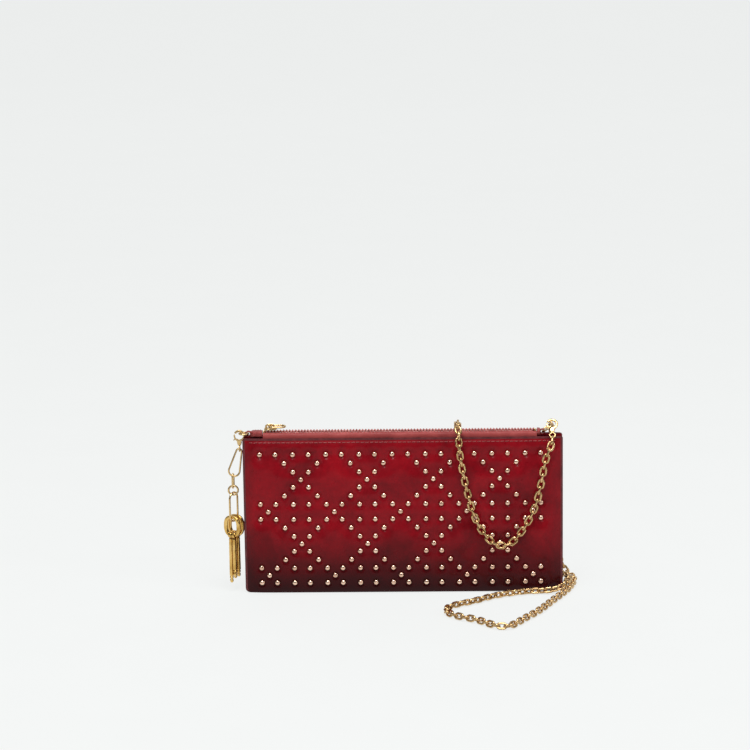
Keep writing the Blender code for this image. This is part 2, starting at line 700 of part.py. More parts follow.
def build():
    clear_scene()
    leather = make_material("leather", (0.30, 0.004, 0.012), 0.28)
    edge = make_material("edge", (0.035, 0.006, 0.010), 0.4)
    coral = make_material("zip_leather", (0.42, 0.03, 0.03), 0.42)
    lining = make_material("lining", (0.10, 0.012, 0.018), 0.85)
    padding = make_material("padding", (0.75, 0.73, 0.68), 0.95)
    brass = make_material("brass", (0.72, 0.50, 0.24), 0.28, 1.0)
    studs = make_material("stud_metal", (0.80, 0.58, 0.42), 0.22, 1.0)
    front = pivot("front_pivot", (0, FRONT_FOOT, BASE_THICK))
    shell(leather, edge, lining, brass, coral)
    front_half(front, leather, lining, padding, brass, coral)
    bpy.data.objects["studs"].data.materials[0] = studs
    zip_and_pull(front, brass)
    hardware(front, brass)
    chain(front, brass)


build()
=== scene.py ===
"""Looks for the zipped clutch purse: studded quilted leather, zip, chain strap and charms.

Sizes in the tables are in millimetres, as in the CAD source, and MM turns them into metres.
"""
import math
import random

import bmesh
import bpy
import numpy as np
from mathutils import Euler, Matrix, Vector


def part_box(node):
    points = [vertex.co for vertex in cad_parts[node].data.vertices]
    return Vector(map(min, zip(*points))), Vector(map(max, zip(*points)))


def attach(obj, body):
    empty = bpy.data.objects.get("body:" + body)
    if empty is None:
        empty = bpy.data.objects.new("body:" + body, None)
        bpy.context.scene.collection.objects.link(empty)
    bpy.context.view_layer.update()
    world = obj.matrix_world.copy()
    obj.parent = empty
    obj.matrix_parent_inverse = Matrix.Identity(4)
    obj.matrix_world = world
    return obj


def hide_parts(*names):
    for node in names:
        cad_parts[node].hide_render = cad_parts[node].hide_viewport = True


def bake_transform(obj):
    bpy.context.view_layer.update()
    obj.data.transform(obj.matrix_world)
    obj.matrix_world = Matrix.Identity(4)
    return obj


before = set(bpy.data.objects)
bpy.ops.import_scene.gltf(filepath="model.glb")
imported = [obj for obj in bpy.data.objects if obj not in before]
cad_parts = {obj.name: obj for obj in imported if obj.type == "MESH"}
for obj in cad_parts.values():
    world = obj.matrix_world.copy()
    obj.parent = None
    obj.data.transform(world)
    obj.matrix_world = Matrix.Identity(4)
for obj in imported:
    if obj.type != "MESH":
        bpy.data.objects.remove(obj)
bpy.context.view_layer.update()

MM = 0.001
random.seed(4)
scene = bpy.context.scene

# ---------------------------------------------------------------- camera

CAMERA_PLACE = (0.0282, -1.8506, 0.5503)
CAMERA_AZIMUTH = -1.4125
CAMERA_ELEVATION = 12.331
CAMERA_ROLL = -0.798
SENSOR = 36
LENS = 139.2


def make_camera():
    azimuth = math.radians(CAMERA_AZIMUTH)
    elevation = math.radians(CAMERA_ELEVATION)
    roll = math.radians(CAMERA_ROLL)
    forward = Vector((math.sin(azimuth) * math.cos(elevation),
                      math.cos(azimuth) * math.cos(elevation), -math.sin(elevation)))
    level = Vector((math.cos(azimuth), -math.sin(azimuth), 0))
    up = level.cross(forward)
    right = math.cos(roll) * level + math.sin(roll) * up
    top = -math.sin(roll) * level + math.cos(roll) * up
    data = bpy.data.cameras.new("camera")
    data.sensor_width = SENSOR
    data.lens = LENS
    data.clip_start = 0.05
    data.clip_end = 50
    camera = bpy.data.objects.new("camera", data)
    scene.collection.objects.link(camera)
    turn = Matrix((right, top, -forward)).transposed().to_4x4()
    camera.matrix_world = Matrix.Translation(CAMERA_PLACE) @ turn
    scene.camera = camera


make_camera()

# ---------------------------------------------------------------- materials


class Nodes:
    """A short way to write a material's nodes."""

    def __init__(self, name):
        self.material = bpy.data.materials.new(name)
        self.material.use_nodes = True
        self.tree = self.material.node_tree
        self.shader = self.tree.nodes["Principled BSDF"]
        self.place = self.add("ShaderNodeTexCoord").outputs["Object"]

    def add(self, kind, **settings):
        node = self.tree.nodes.new(kind)
        for key, value in settings.items():
            setattr(node, key, value)
        return node

    def link(self, start, end):
        self.tree.links.new(start, end)

    def fill(self, node, values):
        for key, value in values.items():
            if isinstance(value, bpy.types.NodeSocket):
                self.link(value, node.inputs[key])
            else:
                node.inputs[key].default_value = value
        return node

    def set(self, **values):
        for key, value in values.items():
            self.shader.inputs[key.replace("_", " ")].default_value = value

    def noise(self, scale, detail=3.0, rough=0.55, distortion=0.0):
        node = self.add("ShaderNodeTexNoise")
        self.fill(node, {"Vector": self.place, "Scale": scale, "Detail": detail, "Roughness": rough,
                         "Distortion": distortion})
        return node.outputs["Fac"]

    def cells(self, scale):
        node = self.add("ShaderNodeTexVoronoi", feature="DISTANCE_TO_EDGE")
        self.fill(node, {"Vector": self.place, "Scale": scale})
        return node.outputs["Distance"]

    def wave(self, scale, direction, distortion=0.0, detail=0.0):
        node = self.add("ShaderNodeTexWave", wave_type="BANDS", bands_direction=direction)
        self.fill(node, {"Vector": self.place, "Scale": scale, "Distortion": distortion, "Detail": detail})
        return node.outputs["Fac"]

    def maths(self, operation, first, second=0.0):
        node = self.add("ShaderNodeMath", operation=operation)
        self.fill(node, {0: first, 1: second})
        return node.outputs[0]

    def span(self, value, low, high, new_low, new_high, smooth=False):
        node = self.add("ShaderNodeMapRange")
        if smooth:
            node.interpolation_type = "SMOOTHSTEP"
        self.fill(node, {"Value": value, "From Min": low, "From Max": high, "To Min": new_low,
                         "To Max": new_high})
        return node.outputs["Result"]

    def ramp(self, value, stops):
        node = self.add("ShaderNodeValToRGB")
        elements = node.color_ramp.elements
        while len(elements) < len(stops):
            elements.new(0.5)
        for element, (where, colour) in zip(elements, stops):
            element.position = where
            element.color = (*colour, 1)
        self.link(value, node.inputs["Fac"])
        return node.outputs["Color"]

    def mix(self, factor, first, second):
        node = self.add("ShaderNodeMix", data_type="RGBA", blend_type="MIX")
        for index, value in ((0, factor), (6, first), (7, second)):
            if isinstance(value, bpy.types.NodeSocket):
                self.link(value, node.inputs[index])
            elif index == 0:
                node.inputs[index].default_value = value
            else:
                node.inputs[index].default_value = (*value, 1)
        return node.outputs[2]

    def axis(self, name):
        node = self.add("ShaderNodeSeparateXYZ")
        self.link(self.place, node.inputs[0])
        return node.outputs[name]

    def bump(self, layers):
        """Stacks (height, strength, distance) bumps."""
        normal = None
        for height, strength, distance in layers:
            node = self.add("ShaderNodeBump")
            self.fill(node, {"Height": height, "Strength": strength, "Distance": distance})
            if normal is not None:
                self.link(normal, node.inputs["Normal"])
            normal = node.outputs["Normal"]
        self.link(normal, self.shader.inputs["Normal"])

    def colour(self, socket):
        self.link(socket, self.shader.inputs["Base Color"])

    def roughness(self, pattern, low, high):
        self.link(self.span(pattern, 0.3, 0.7, low, high), self.shader.inputs["Roughness"])


def leather_material(name, deep, main, bright, rough, painted_shade=True):
    """Glazed leather with clouds, grain and creases; the colour can also carry painted shade, darker at the
    foot and at the sides.
    """
    m = Nodes(name)
    patina = m.noise(38, 4, 0.6, 0.6)
    fine = m.noise(420, 3, 0.6)
    tone = m.ramp(patina, [(0.28, deep), (0.5, main), (0.78, bright)])
    tone = m.mix(m.span(fine, 0.3, 0.7, 0.0, 0.22), tone, tuple(0.55 * c for c in deep))
    if painted_shade:
        # painted shade at the foot: the colour goes to near-black crimson over the lowest 50 mm
        low = m.span(m.axis("Z"), 0.0, 0.05, 0.94, 0.0, smooth=True)
        tone = m.mix(low, tone, tuple(0.06 * c for c in main))
        # painted shade at the sides: the colour goes half dark near both side edges
        edge = m.span(m.maths("ABSOLUTE", m.axis("X")), 0.0965, 0.1045, 0.0, 0.16, smooth=True)
        tone = m.mix(edge, tone, tuple(0.5 * c for c in deep))
    m.colour(tone)
    m.roughness(m.noise(160, 4, 0.65), rough - 0.05, rough + 0.09)
    grain = m.cells(1150)
    pores = m.noise(2600, 2, 0.5)
    creases = m.noise(75, 5, 0.7, 1.2)
    m.bump([(creases, 0.14, 0.001), (grain, 0.1, 0.00012), (pores, 0.07, 0.00006)])
    m.set(Specular_IOR_Level=0.12, Coat_Weight=0.05, Coat_Roughness=0.14)
    return m.material


def edge_paint():
    m = Nodes("edge_paint")
    m.colour(m.ramp(m.noise(260, 4, 0.6), [(0.3, (0.060, 0.007, 0.009)), (0.7, (0.150, 0.022, 0.026))]))
    m.roughness(m.noise(500), 0.3, 0.5)
    m.bump([(m.noise(700, 3), 0.2, 0.00015)])
    m.set(Specular_IOR_Level=0.3, Coat_Weight=0.08, Coat_Roughness=0.3)
    return m.material


SCRATCHES = 0.07


def metal(name, dark, main, light, rough, tarnish_scale):
    """Plated metal with cloudy tarnish and fine scratches."""
    m = Nodes(name)
    clouds = m.noise(tarnish_scale, 4, 0.65, 0.5)
    m.colour(m.ramp(clouds, [(0.28, dark), (0.5, main), (0.75, light)]))
    m.roughness(m.noise(tarnish_scale * 2.7, 3), rough - 0.06, rough + 0.1)
    m.bump([(m.noise(2300, 2), SCRATCHES, 0.00003), (m.noise(500, 3, 0.6), SCRATCHES, 0.00008)])
    m.set(Metallic=1.0)
    return m.material


def cloth_material(name, dark, light, scale):
    """Plain woven cloth."""
    m = Nodes(name)
    warp = m.wave(scale, "X", 0.6, 1.0)
    weft = m.wave(scale, "Z", 0.6, 1.0)
    weave = m.maths("MAXIMUM", warp, weft)
    wear = m.span(m.noise(90, 4), 0.2, 0.8, 0.6, 1.0)
    m.colour(m.ramp(m.maths("MULTIPLY", weave, wear), [(0.2, dark), (0.95, light)]))
    m.roughness(m.noise(240), 0.77, 0.91)
    m.bump([(weave, 0.5, 0.00018), (m.noise(55, 4, 0.6), 0.2, 0.0009)])
    m.set(Sheen_Weight=0.06, Sheen_Roughness=0.5, Specular_IOR_Level=0.2)
    return m.material


def felt_material():
    m = Nodes("felt")
    m.colour(m.ramp(m.noise(600, 6, 0.75), [(0.3, (0.50, 0.47, 0.42)), (0.7, (0.80, 0.78, 0.73))]))
    m.roughness(m.noise(300), 0.88, 0.98)
    m.bump([(m.noise(1500, 6, 0.8), 0.6, 0.0003)])
    m.set(Sheen_Weight=0.4, Sheen_Roughness=0.6)
    return m.material


def coil_material():
    m = Nodes("coil_zip")
    m.colour(m.ramp(m.noise(320, 3), [(0.3, (0.30, 0.060, 0.056)), (0.7, (0.56, 0.20, 0.18))]))
    m.roughness(m.noise(900), 0.26, 0.42)
    m.bump([(m.noise(2400, 2), 0.12, 0.00008)])
    m.set(Specular_IOR_Level=0.6)
    return m.material


def thread_material():
    m = Nodes("thread")
    twist = m.wave(900, "DIAGONAL", 1.0, 1.0)
    m.colour(m.ramp(twist, [(0.2, (0.21, 0.026, 0.030)), (0.9, (0.42, 0.095, 0.09))]))
    m.roughness(m.noise(1800), 0.5, 0.7)
    m.bump([(m.wave(1300, "DIAGONAL", 0.6), 0.5, 0.0001)])
    return m.material


LEATHER = leather_material("crimson_leather", (0.120, 0.0016, 0.0045), (0.225, 0.0026, 0.0080),
                           (0.33, 0.0042, 0.0105), 0.30)
BACK_LEATHER = leather_material("crimson_leather_plain", (0.14, 0.0024, 0.0060), (0.22, 0.0036, 0.0100),
                                (0.29, 0.0055, 0.0130), 0.36)
CORAL = leather_material("coral_leather", (0.225, 0.034, 0.034), (0.335, 0.058, 0.055),
                         (0.43, 0.088, 0.082), 0.42, painted_shade=False)
EDGE = edge_paint()
STUD_METAL = metal("rose_gold", (0.62, 0.38, 0.27), (0.80, 0.54, 0.40), (0.93, 0.68, 0.53), 0.17, 90)
BRASS = metal("pale_gold", (0.44, 0.29, 0.12), (0.67, 0.47, 0.22), (0.82, 0.62, 0.33), 0.22, 150)
CHARM_GOLD = metal("warm_gold", (0.44, 0.25, 0.06), (0.72, 0.45, 0.13), (0.90, 0.64, 0.26), 0.2, 150)
CHAIN_GOLD = metal("antique_gold", (0.30, 0.175, 0.07), (0.60, 0.395, 0.185), (0.80, 0.58, 0.31), 0.2, 200)
LINING = cloth_material("lining_cloth", (0.045, 0.006, 0.009), (0.13, 0.018, 0.025), 620)
FELT = felt_material()
COIL = coil_material()
THREAD = thread_material()

# ---------------------------------------------------------------- mesh helpers


def new_object(name, verts, faces, materials, indices=None, angle=None):
    """A mesh object from points in millimetres."""
    mesh = bpy.data.meshes.new(name)
    mesh.from_pydata([tuple(c * MM for c in v) for v in verts], [], faces)
    for material in materials:
        mesh.materials.append(material)
    if indices is not None:
        mesh.polygons.foreach_set("material_index", indices)
    mesh.validate()
    fix = bmesh.new()
    fix.from_mesh(mesh)
    bmesh.ops.recalc_face_normals(fix, faces=fix.faces)
    fix.to_mesh(mesh)
    fix.free()
    mesh.shade_smooth()
    if angle is not None:
        mesh.set_sharp_from_angle(angle=math.radians(angle))
    thing = bpy.data.objects.new(name, mesh)
    scene.collection.objects.link(thing)
    return thing


def bevel(thing, width, segments, angle=35):
    """Rounds the sharp edges and makes the result the object's own mesh."""
    modifier = thing.modifiers.new("bevel", "BEVEL")
    modifier.width = width * MM
    modifier.segments = segments
    modifier.limit_method = "ANGLE"
    modifier.angle_limit = math.radians(angle)
    modifier.harden_normals = False
    graph = bpy.context.evaluated_depsgraph_get()
    graph.update()
    made = bpy.data.meshes.new_from_object(thing.evaluated_get(graph))
    thing.modifiers.clear()
    thing.data = made


def finish_piece(thing, body, slot, *stands_for):
    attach(thing, body)
    if stands_for:
        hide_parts(*stands_for)


def blend_piece(thing, start, end, slot, *stands_for):
    """Bakes the piece's placement into its mesh and hides the CAD parts that it stands for."""
    start = [c * MM for c in start]
    end = [c * MM for c in end]
    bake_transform(thing)
    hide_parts(*stands_for)


def smooth_route(route, step):
    """Points about a step apart on a smooth curve through the route's own points."""
    points = [Vector(p) for p in route]
    ends = [2 * points[0] - points[1]] + points + [2 * points[-1] - points[-2]]
    dense = []
    for i in range(1, len(ends) - 2):
        a, b, c, d = ends[i - 1:i + 3]
        for k in range(12):
            t = k / 12
            dense.append(0.5 * (2 * b + (c - a) * t + (2 * a - 5 * b + 4 * c - d) * t * t
                                + (3 * b - a - 3 * c + d) * t ** 3))
    dense.append(points[-1])
    return evenly(dense, step)


def evenly(line, step):
    """The same line with its points about a step apart."""
    total = sum((q - p).length for p, q in zip(line, line[1:]))
    count = max(2, round(total / step))
    spaced = [line[0]]
    walked = 0.0
    for p, q in zip(line, line[1:]):
        piece = (q - p).length
        while len(spaced) < count and walked + piece >= total * len(spaced) / count:
            spaced.append(p.lerp(q, (total * len(spaced) / count - walked) / piece))
        walked += piece
    spaced.append(line[-1])
    return spaced


def section(half_wide, half_tall, sides, power=1.0):
    """A closed cross-section, round at power 1 and squarer below it."""
    points = []
    for k in range(sides):
        angle = math.tau * (k + 0.5) / sides
        c = math.cos(angle)
        s = math.sin(angle)
        points.append((half_wide * math.copysign(abs(c) ** power, c),
                       half_tall * math.copysign(abs(s) ** power, s)))
    return points


def tube_faces(rings, sides, closed=False):
    """Faces between rings of points that have the same number of sides."""
    faces = []
    for i in range(rings if closed else rings - 1):
        j = (i + 1) % rings
        for k in range(sides):
            m = (k + 1) % sides
            faces.append((i * sides + k, i * sides + m, j * sides + m, j * sides + k))
    return faces


def solid_faces(rings, sides):
    """Faces of a tube and of its two ends."""
    ends = [tuple(range(sides)), tuple(reversed(range((rings - 1) * sides, rings * sides)))]
    return tube_faces(rings, sides) + ends


def sheet_faces(width, height):
    """Faces of a grid of points and of its second side, joined round the border."""
    count = width * height
    faces = []
    for j in range(height - 1):
        for i in range(width - 1):
            a = j * width + i
            faces.append((a, a + 1, a + width + 1, a + width))
            faces.append((count + a, count + a + width, count + a + width + 1, count + a + 1))
    border = list(range(width))
    border += [j * width + width - 1 for j in range(1, height)]
    border += [(height - 1) * width + i for i in range(width - 2, -1, -1)]
    border += [j * width for j in range(height - 2, 0, -1)]
    for a, b in zip(border, border[1:] + border[:1]):
        faces.append((a, count + a, count + b, b))
    return faces


def loop_mesh(outline, profile, scale=None):
    """Points and faces of a closed wire along a flat outline in X and Z; profile is (outward, along Y)."""
    count = len(outline)
    verts = []
    for i, (x, z) in enumerate(outline):
        ahead = Vector(outline[(i + 1) % count]) - Vector(outline[i - 1])
        outward = Vector((ahead.y, -ahead.x)).normalized()
        grow = scale[i] if scale else 1.0
        for out, along in profile:
            verts.append(Vector((x + outward.x * out * grow, along, z + outward.y * out * grow)))
    return verts, tube_faces(count, len(profile), closed=True)


def placed(verts, place, turn):
    """The points turned about the origin and moved to a place."""
    turning = Euler(turn).to_matrix()
    home = Vector(place)
    return [turning @ v + home for v in verts]


def wire_loop(name, outline, profile, material, place, turn=(0, 0, 0), scale=None):
    verts, faces = loop_mesh(outline, profile, scale)
    return new_object(name, placed(verts, place, turn), faces, [material])


def brass_wire(name, outline, wire, place, turn, body, node):
    """A closed loop of round brass wire on a body of its own."""
    thing = wire_loop(name, outline, section(wire, wire, 12), BRASS, place, turn)
    finish_piece(thing, body, "brass", node)


def swept(path, profile):
    """Points and faces of a profile carried along an open path; profile is (sideways, up)."""
    verts = []
    side = None
    for i, point in enumerate(path):
        heading = (path[min(i + 1, len(path) - 1)] - path[max(i - 1, 0)]).normalized()
        if side is None:
            side = heading.cross(Vector((0, 0, 1)))
            if side.length < 0.1:
                side = heading.cross(Vector((0, 1, 0)))
        side = (side - heading * side.dot(heading)).normalized()
        up = side.cross(heading)
        for u, v in profile:
            verts.append(point + side * u + up * v)
    return verts, solid_faces(len(path), len(profile))


def extruded(outline, low, high):
    """Points and faces of a flat outline in X and Z pulled along Y."""
    verts = [Vector((x, y, z)) for y in (low, high) for x, z in outline]
    return verts, solid_faces(2, len(outline))


def joined(*parts):
    """Several lots of points and faces as one."""
    verts = []
    faces = []
    for more_verts, more_faces in parts:
        start = len(verts)
        verts += more_verts
        faces += [tuple(start + i for i in face) for face in more_faces]
    return verts, faces


def ball(centre, radii, rings, segments):
    """Points and faces of an ellipsoid."""
    verts = []
    for i in range(1, rings):
        latitude = math.pi * i / rings - math.pi / 2
        for k in range(segments):
            angle = math.tau * k / segments
            verts.append(Vector((centre[0] + radii[0] * math.cos(latitude) * math.cos(angle),
                                 centre[1] + radii[1] * math.cos(latitude) * math.sin(angle),
                                 centre[2] + radii[2] * math.sin(latitude))))
    faces = tube_faces(rings - 1, segments)
    top = len(verts)
    last = top - segments
    verts.append(Vector((centre[0], centre[1], centre[2] + radii[2])))
    verts.append(Vector((centre[0], centre[1], centre[2] - radii[2])))
    for k in range(segments):
        m = (k + 1) % segments
        faces.append((last + k, last + m, top))
        faces.append((top + 1, m, k))
    return verts, faces


def circle(radius, count):
    return [(radius * math.cos(math.tau * i / count), radius * math.sin(math.tau * i / count))
            for i in range(count)]


def oval(wide, tall, count):
    """A link's centre line: two half circles joined by straight sides."""
    radius = wide / 2
    lift = tall / 2 - radius
    points = []
    for i in range(count):
        angle = math.tau * (i + 0.5) / count
        x = radius * math.cos(angle)
        points.append((x, radius * math.sin(angle) + math.copysign(lift, math.sin(angle))))
    return points


def ease(value):
    """A smooth step from 0 to 1."""
    value = min(1.0, max(0.0, value))
    return value * value * (3 - 2 * value)


# ---------------------------------------------------------------- chain strap

LIE = -13.2
FRONT_RUN = [
    (98.0, -8.0, 104.4), (96.9, -11.9, 100.2), (94.2, LIE, 93.6), (92.3, LIE, 86.0),
    (91.2, LIE, 79.0), (89.6, LIE, 71.5), (87.9, LIE, 64.0), (85.2, LIE, 56.3),
    (81.6, LIE, 49.0), (77.3, LIE, 42.3), (72.4, LIE, 36.3), (66.3, LIE, 33.3),
    (60.0, LIE, 34.5), (54.6, LIE, 39.4), (49.9, LIE, 46.3), (46.3, LIE, 54.5),
    (43.9, LIE, 62.5), (41.9, LIE, 71.0), (39.9, LIE, 80.0), (38.4, LIE, 88.4),
    (37.4, LIE, 96.0), (36.9, -12.4, 102.3), (36.7, -9.6, 107.6), (36.5, -6.9, 110.5),
    (36.4, -4.7, 111.7), (36.4, -3.5, 112.1), (36.3, -0.5, 112.6), (36.3, 3.0, 112.1),
    (36.3, 6.3, 110.3), (36.4, 9.0, 106.8)]
BACK_RUN = [
    (36.5, 9.7, 105.6), (36.8, 10.5, 99.5), (37.5, 10.8, 88.0), (39.0, 10.9, 70.0),
    (41.0, 11.2, 50.0), (44.0, 12.0, 32.0), (48.5, 14.5, 17.0), (55.0, 19.0, 7.0),
    (63.0, 24.0, 2.6), (74.0, 27.5, 2.2), (86.0, 27.0, 2.2), (97.0, 22.5, 2.4),
    (103.5, 16.5, 4.4), (107.6, 9.0, 6.6), (108.6, 1.0, 7.4), (107.2, -7.4, 6.2),
    (102.0, -12.4, 3.8), (94.5, -13.0, 2.4), (87.0, -13.4, 2.2), (80.0, -14.6, 2.2),
    (72.5, -17.3, 2.2), (65.0, -20.7, 2.2), (57.5, -25.3, 2.2), (50.5, -31.5, 2.2),
    (43.0, -37.5, 2.2), (35.5, -42.5, 2.2), (30.0, -48.5, 2.2), (28.0, -56.0, 2.2),
    (30.5, -63.5, 2.2), (36.3, -69.5, 2.2), (43.5, -74.0, 2.2), (49.8, -79.5, 2.2),
    (55.5, -86.0, 2.2), (61.8, -90.6, 2.2), (68.3, -89.6, 2.2), (73.3, -82.6, 2.2),
    (79.5, -71.5, 2.2), (86.0, -60.5, 2.2), (91.6, -48.5, 2.2), (97.0, -35.7, 2.2),
    (102.6, -23.0, 2.2), (107.5, -11.0, 2.2), (111.0, 0.5, 2.2), (113.0, 12.0, 2.2),
    (111.2, 23.0, 2.4), (107.5, 27.5, 5.0), (103.8, 26.0, 14.0), (101.5, 21.0, 28.0),
    (100.2, 16.5, 46.0), (99.4, 13.2, 66.0), (98.9, 11.4, 84.0), (98.6, 10.6, 98.0),
    (98.3, 9.6, 104.5), (98.0, 7.6, 108.6), (97.8, 4.9, 111.2)]
LINK_PITCH = 4.35
LINK_LONG = 7.2
LINK_WIDE = 5.0
LINK_WIRE = 0.71
WOBBLE = 3


def link_template():
    """One link lying along X, with a rounded-square wire."""
    outline = oval(LINK_WIDE - 2 * LINK_WIRE, LINK_LONG - 2 * LINK_WIRE, 20)
    verts, faces = loop_mesh(outline, section(LINK_WIRE, LINK_WIRE, 10, 0.75))
    return [Vector((v.z, v.x, v.y)) for v in verts], faces


def chain(name, route, odd_rolls, even_rolls):
    """A run of real links; the rolls are the alternate turns about the chain's line, in degrees."""
    line = smooth_route(route, 0.5)
    total = sum((q - p).length for p, q in zip(line, line[1:]))
    count = round(total / LINK_PITCH)
    fine = evenly(line, total / count / 8)
    template, template_faces = link_template()
    verts = []
    faces = []
    side = None
    for i in range(count):
        middle = fine[i * 8 + 4]
        heading = (fine[i * 8 + 7] - fine[i * 8 + 1]).normalized()
        if side is None:
            side = heading.cross(Vector((0, -1, 0)))
        side = (side - heading * side.dot(heading)).normalized()
        above = heading.cross(side)
        first, last = odd_rolls if i % 2 else even_rolls
        roll = math.radians(first + (last - first) * i / count + random.uniform(-WOBBLE, WOBBLE))
        u = side * math.cos(roll) + above * math.sin(roll)
        v = heading.cross(u)
        start = len(verts)
        verts += [middle + heading * p.x + u * p.y + v * p.z for p in template]
        faces += [tuple(start + k for k in face) for face in template_faces]
    thing = new_object(name, verts, faces, [CHAIN_GOLD])
    return thing, [tuple(c * MM for c in p) for p in evenly(line, 1.6)], total * MM


def make_chain():
    front, path, length = chain("strap_chain_front", FRONT_RUN, (4, 14), (92, 98))
    blend_piece(front, (36.4, 8.5, 110), (36.4, -9.8, 110), "chain_metal", "chain_front", "chain_over")
    back, path, length = chain("strap_chain_back", BACK_RUN, (46, 46), (-44, -44))
    blend_piece(back, (98, 9, 104.8), (98, 9, 111.2), "chain_metal",
                "chain_back", "chain_floor", "chain_rise", "chain_end")


make_chain()

# ---------------------------------------------------------------- leather body

HALF_WIDTH = 105.0
HEIGHT = 105.0
RIM = 4.6
PITCH = 43.5
PAIR = 10.2
PATTERN_X = -1.7
PATTERN_LOW = 12.25
LEATHER_THICK = 1.25
PUFF = 1.9
PUFF_REACH = 5.4
DIMPLE = 0.55
FRONT_PROFILE = ((0.1, -6.7), (0.7, -7.2), (3.0, -7.6), (8.0, -7.9), (18.0, -8.4), (32.0, -8.7),
                 (50.0, -8.8), (66.0, -8.7), (80.0, -8.2), (90.0, -7.5), (98.0, -6.8), (103.0, -6.3),
                 (105.0, -6.2))
BACK_PROFILE = ((0.1, 5.8), (0.7, 6.2), (3.0, 6.6), (10.0, 7.1), (30.0, 7.7), (55.0, 7.9), (80.0, 7.6),
                (95.0, 7.0), (103.0, 6.4), (105.0, 6.2))


def stud_places():
    """Every stud's X and Z."""
    half = PITCH / 2
    near = PAIR / 2
    low, middle, high = (PATTERN_LOW + k * PITCH for k in range(3))
    places = []
    for k in range(-4, 5):
        for z in (high - near, middle + near, middle - near, low + near, low - near):
            places += [(k * half - near, z), (k * half + near, z)]
    for k in range(-4, 4):
        for level in range(4):
            places.append(((k + 0.5) * half, PATTERN_LOW + (level + 0.5) * half))
    for k in (-3, -1, 1, 3):
        for z in (low + half, middle + half):
            x = k * half
            places.append((x, z))
            places += [(x + sx * near, z + sz * near) for sx in (-1, 1) for sz in (-1, 1)]
    for k in (-4, -2, 0, 2, 4):
        places += [(k * half, low), (k * half, middle)]
    return [(x + PATTERN_X, z) for x, z in places]


STUDS = np.array(stud_places())


def belly(profile, x, z):
    """How far out the leather lies, before its quilting."""
    heights, depths = zip(*profile)
    smooth = 0.25 * (np.interp(z - 2.5, heights, depths) + 2 * np.interp(z, heights, depths)
                     + np.interp(z + 2.5, heights, depths))
    sharp = np.interp(z, heights, depths)
    mixed = np.where((z > 6) & (z < 100), smooth, sharp)
    rim = math.copysign(RIM, depths[0])
    full = 1 - np.abs(np.clip(x / HALF_WIDTH, -1, 1)) ** 16.0
    sag = 1 - 0.1 * np.abs(x / HALF_WIDTH) ** 2
    return rim + (mixed - rim) * full * sag


def puff(x, z):
    """The quilting: leather sinks at each stud and swells between them."""
    rise = np.ones_like(x)
    sink = np.zeros_like(x)
    for sx, sz in STUDS:
        away = (x - sx) ** 2 + (z - sz) ** 2
        rise *= 1 - np.exp(-away / PUFF_REACH ** 2)
        sink += np.exp(-((np.sqrt(away) - 1.9) / 0.7) ** 2)
    inside = np.clip((HALF_WIDTH - np.abs(x)) / 9, 0, 1) * np.clip((HEIGHT - z) / 9, 0, 1)
    inside = inside * np.clip(z / 7, 0, 1)
    return PUFF * rise * inside * inside * (3 - 2 * inside) - DIMPLE * sink


def panel_points(columns, rows, corner_low, corner_high):
    """A grid with rounded corners, as X and Z for each point."""
    x, z = np.meshgrid(np.linspace(-HALF_WIDTH, HALF_WIDTH, columns), rows)
    for corner, at_top in ((corner_low, False), (corner_high, True)):
        u = np.clip(np.abs(x) - (HALF_WIDTH - corner), 0, None)
        edge = rows[-1] if at_top else rows[0]
        v = np.clip(corner - np.abs(edge - z), 0, None)
        longest = np.maximum(u, v)
        spread = np.sqrt(u * u + v * v)
        factor = np.where(spread > 1e-9, longest / np.maximum(spread, 1e-9), 1.0)
        x = np.where(u > 0, np.sign(x) * (HALF_WIDTH - corner + u * factor), x)
        z = np.where(v > 0, edge - (corner - v * factor) * (1 if at_top else -1), z)
    return x, z


def leather_panel(name, profile, material, quilted, columns, row_step, edge_band):
    """A dished leather panel with its own thickness and painted edges."""
    fine = np.linspace(0.1, 4.0, 9)
    rows = np.concatenate([fine, np.arange(4.0 + row_step, HEIGHT - 2.4, row_step),
                           np.linspace(HEIGHT - 2.2, HEIGHT, 7)])
    x, z = panel_points(columns, rows, 3.0, 1.6)
    y = belly(profile, x, z)
    outward = math.copysign(1, profile[0][1])
    if quilted:
        y = y - puff(x, z)
    else:
        y = y + 0.25 * np.sin(x / 17) * np.sin(z / 23 + 0.6) * np.clip((HALF_WIDTH - np.abs(x)) / 20, 0, 1)
    from_edge = np.minimum(HALF_WIDTH - np.abs(x), HEIGHT - z)
    bead = np.clip(1 - np.abs(from_edge - 0.7) / 0.7, 0, 1)
    y = y + outward * 0.16 * bead
    groove = np.exp(-((from_edge - edge_band - 0.35) / 0.35) ** 2)
    y = y - outward * 0.16 * groove
    height, width = x.shape
    front = np.stack([x, y, z], axis=-1).reshape(-1, 3)
    inner = front.copy()
    inner[:, 1] -= outward * LEATHER_THICK
    inner[:, 0] *= 0.9965
    inner[:, 2] = np.clip(inner[:, 2], 0.45, HEIGHT - 0.35)
    verts = np.concatenate([front, inner])
    faces = sheet_faces(width, height)
    flat_faces = 2 * (width - 1) * (height - 1)
    indices = []
    for number, face in enumerate(faces):
        middle = verts[list(face)].mean(axis=0)
        near = min(HALF_WIDTH - abs(middle[0]), HEIGHT - middle[2])
        outer = number % 2 == 0
        indices.append(1 if number >= flat_faces or (outer and near < edge_band) else 0)
    return new_object(name, verts.tolist(), faces, [material, EDGE], indices, angle=62)


def front_at(x, z):
    return float(belly(FRONT_PROFILE, np.array([x]), np.array([z]))[0])


def dome_frame(x, z):
    """Where a stud sits on the leather, and which way it points."""
    across = Vector((2.0, front_at(x + 1, z) - front_at(x - 1, z), 0))
    along = Vector((0, front_at(x, z + 1) - front_at(x, z - 1), 2.0))
    return Vector((x, front_at(x, z), z)), across.cross(along).normalized()


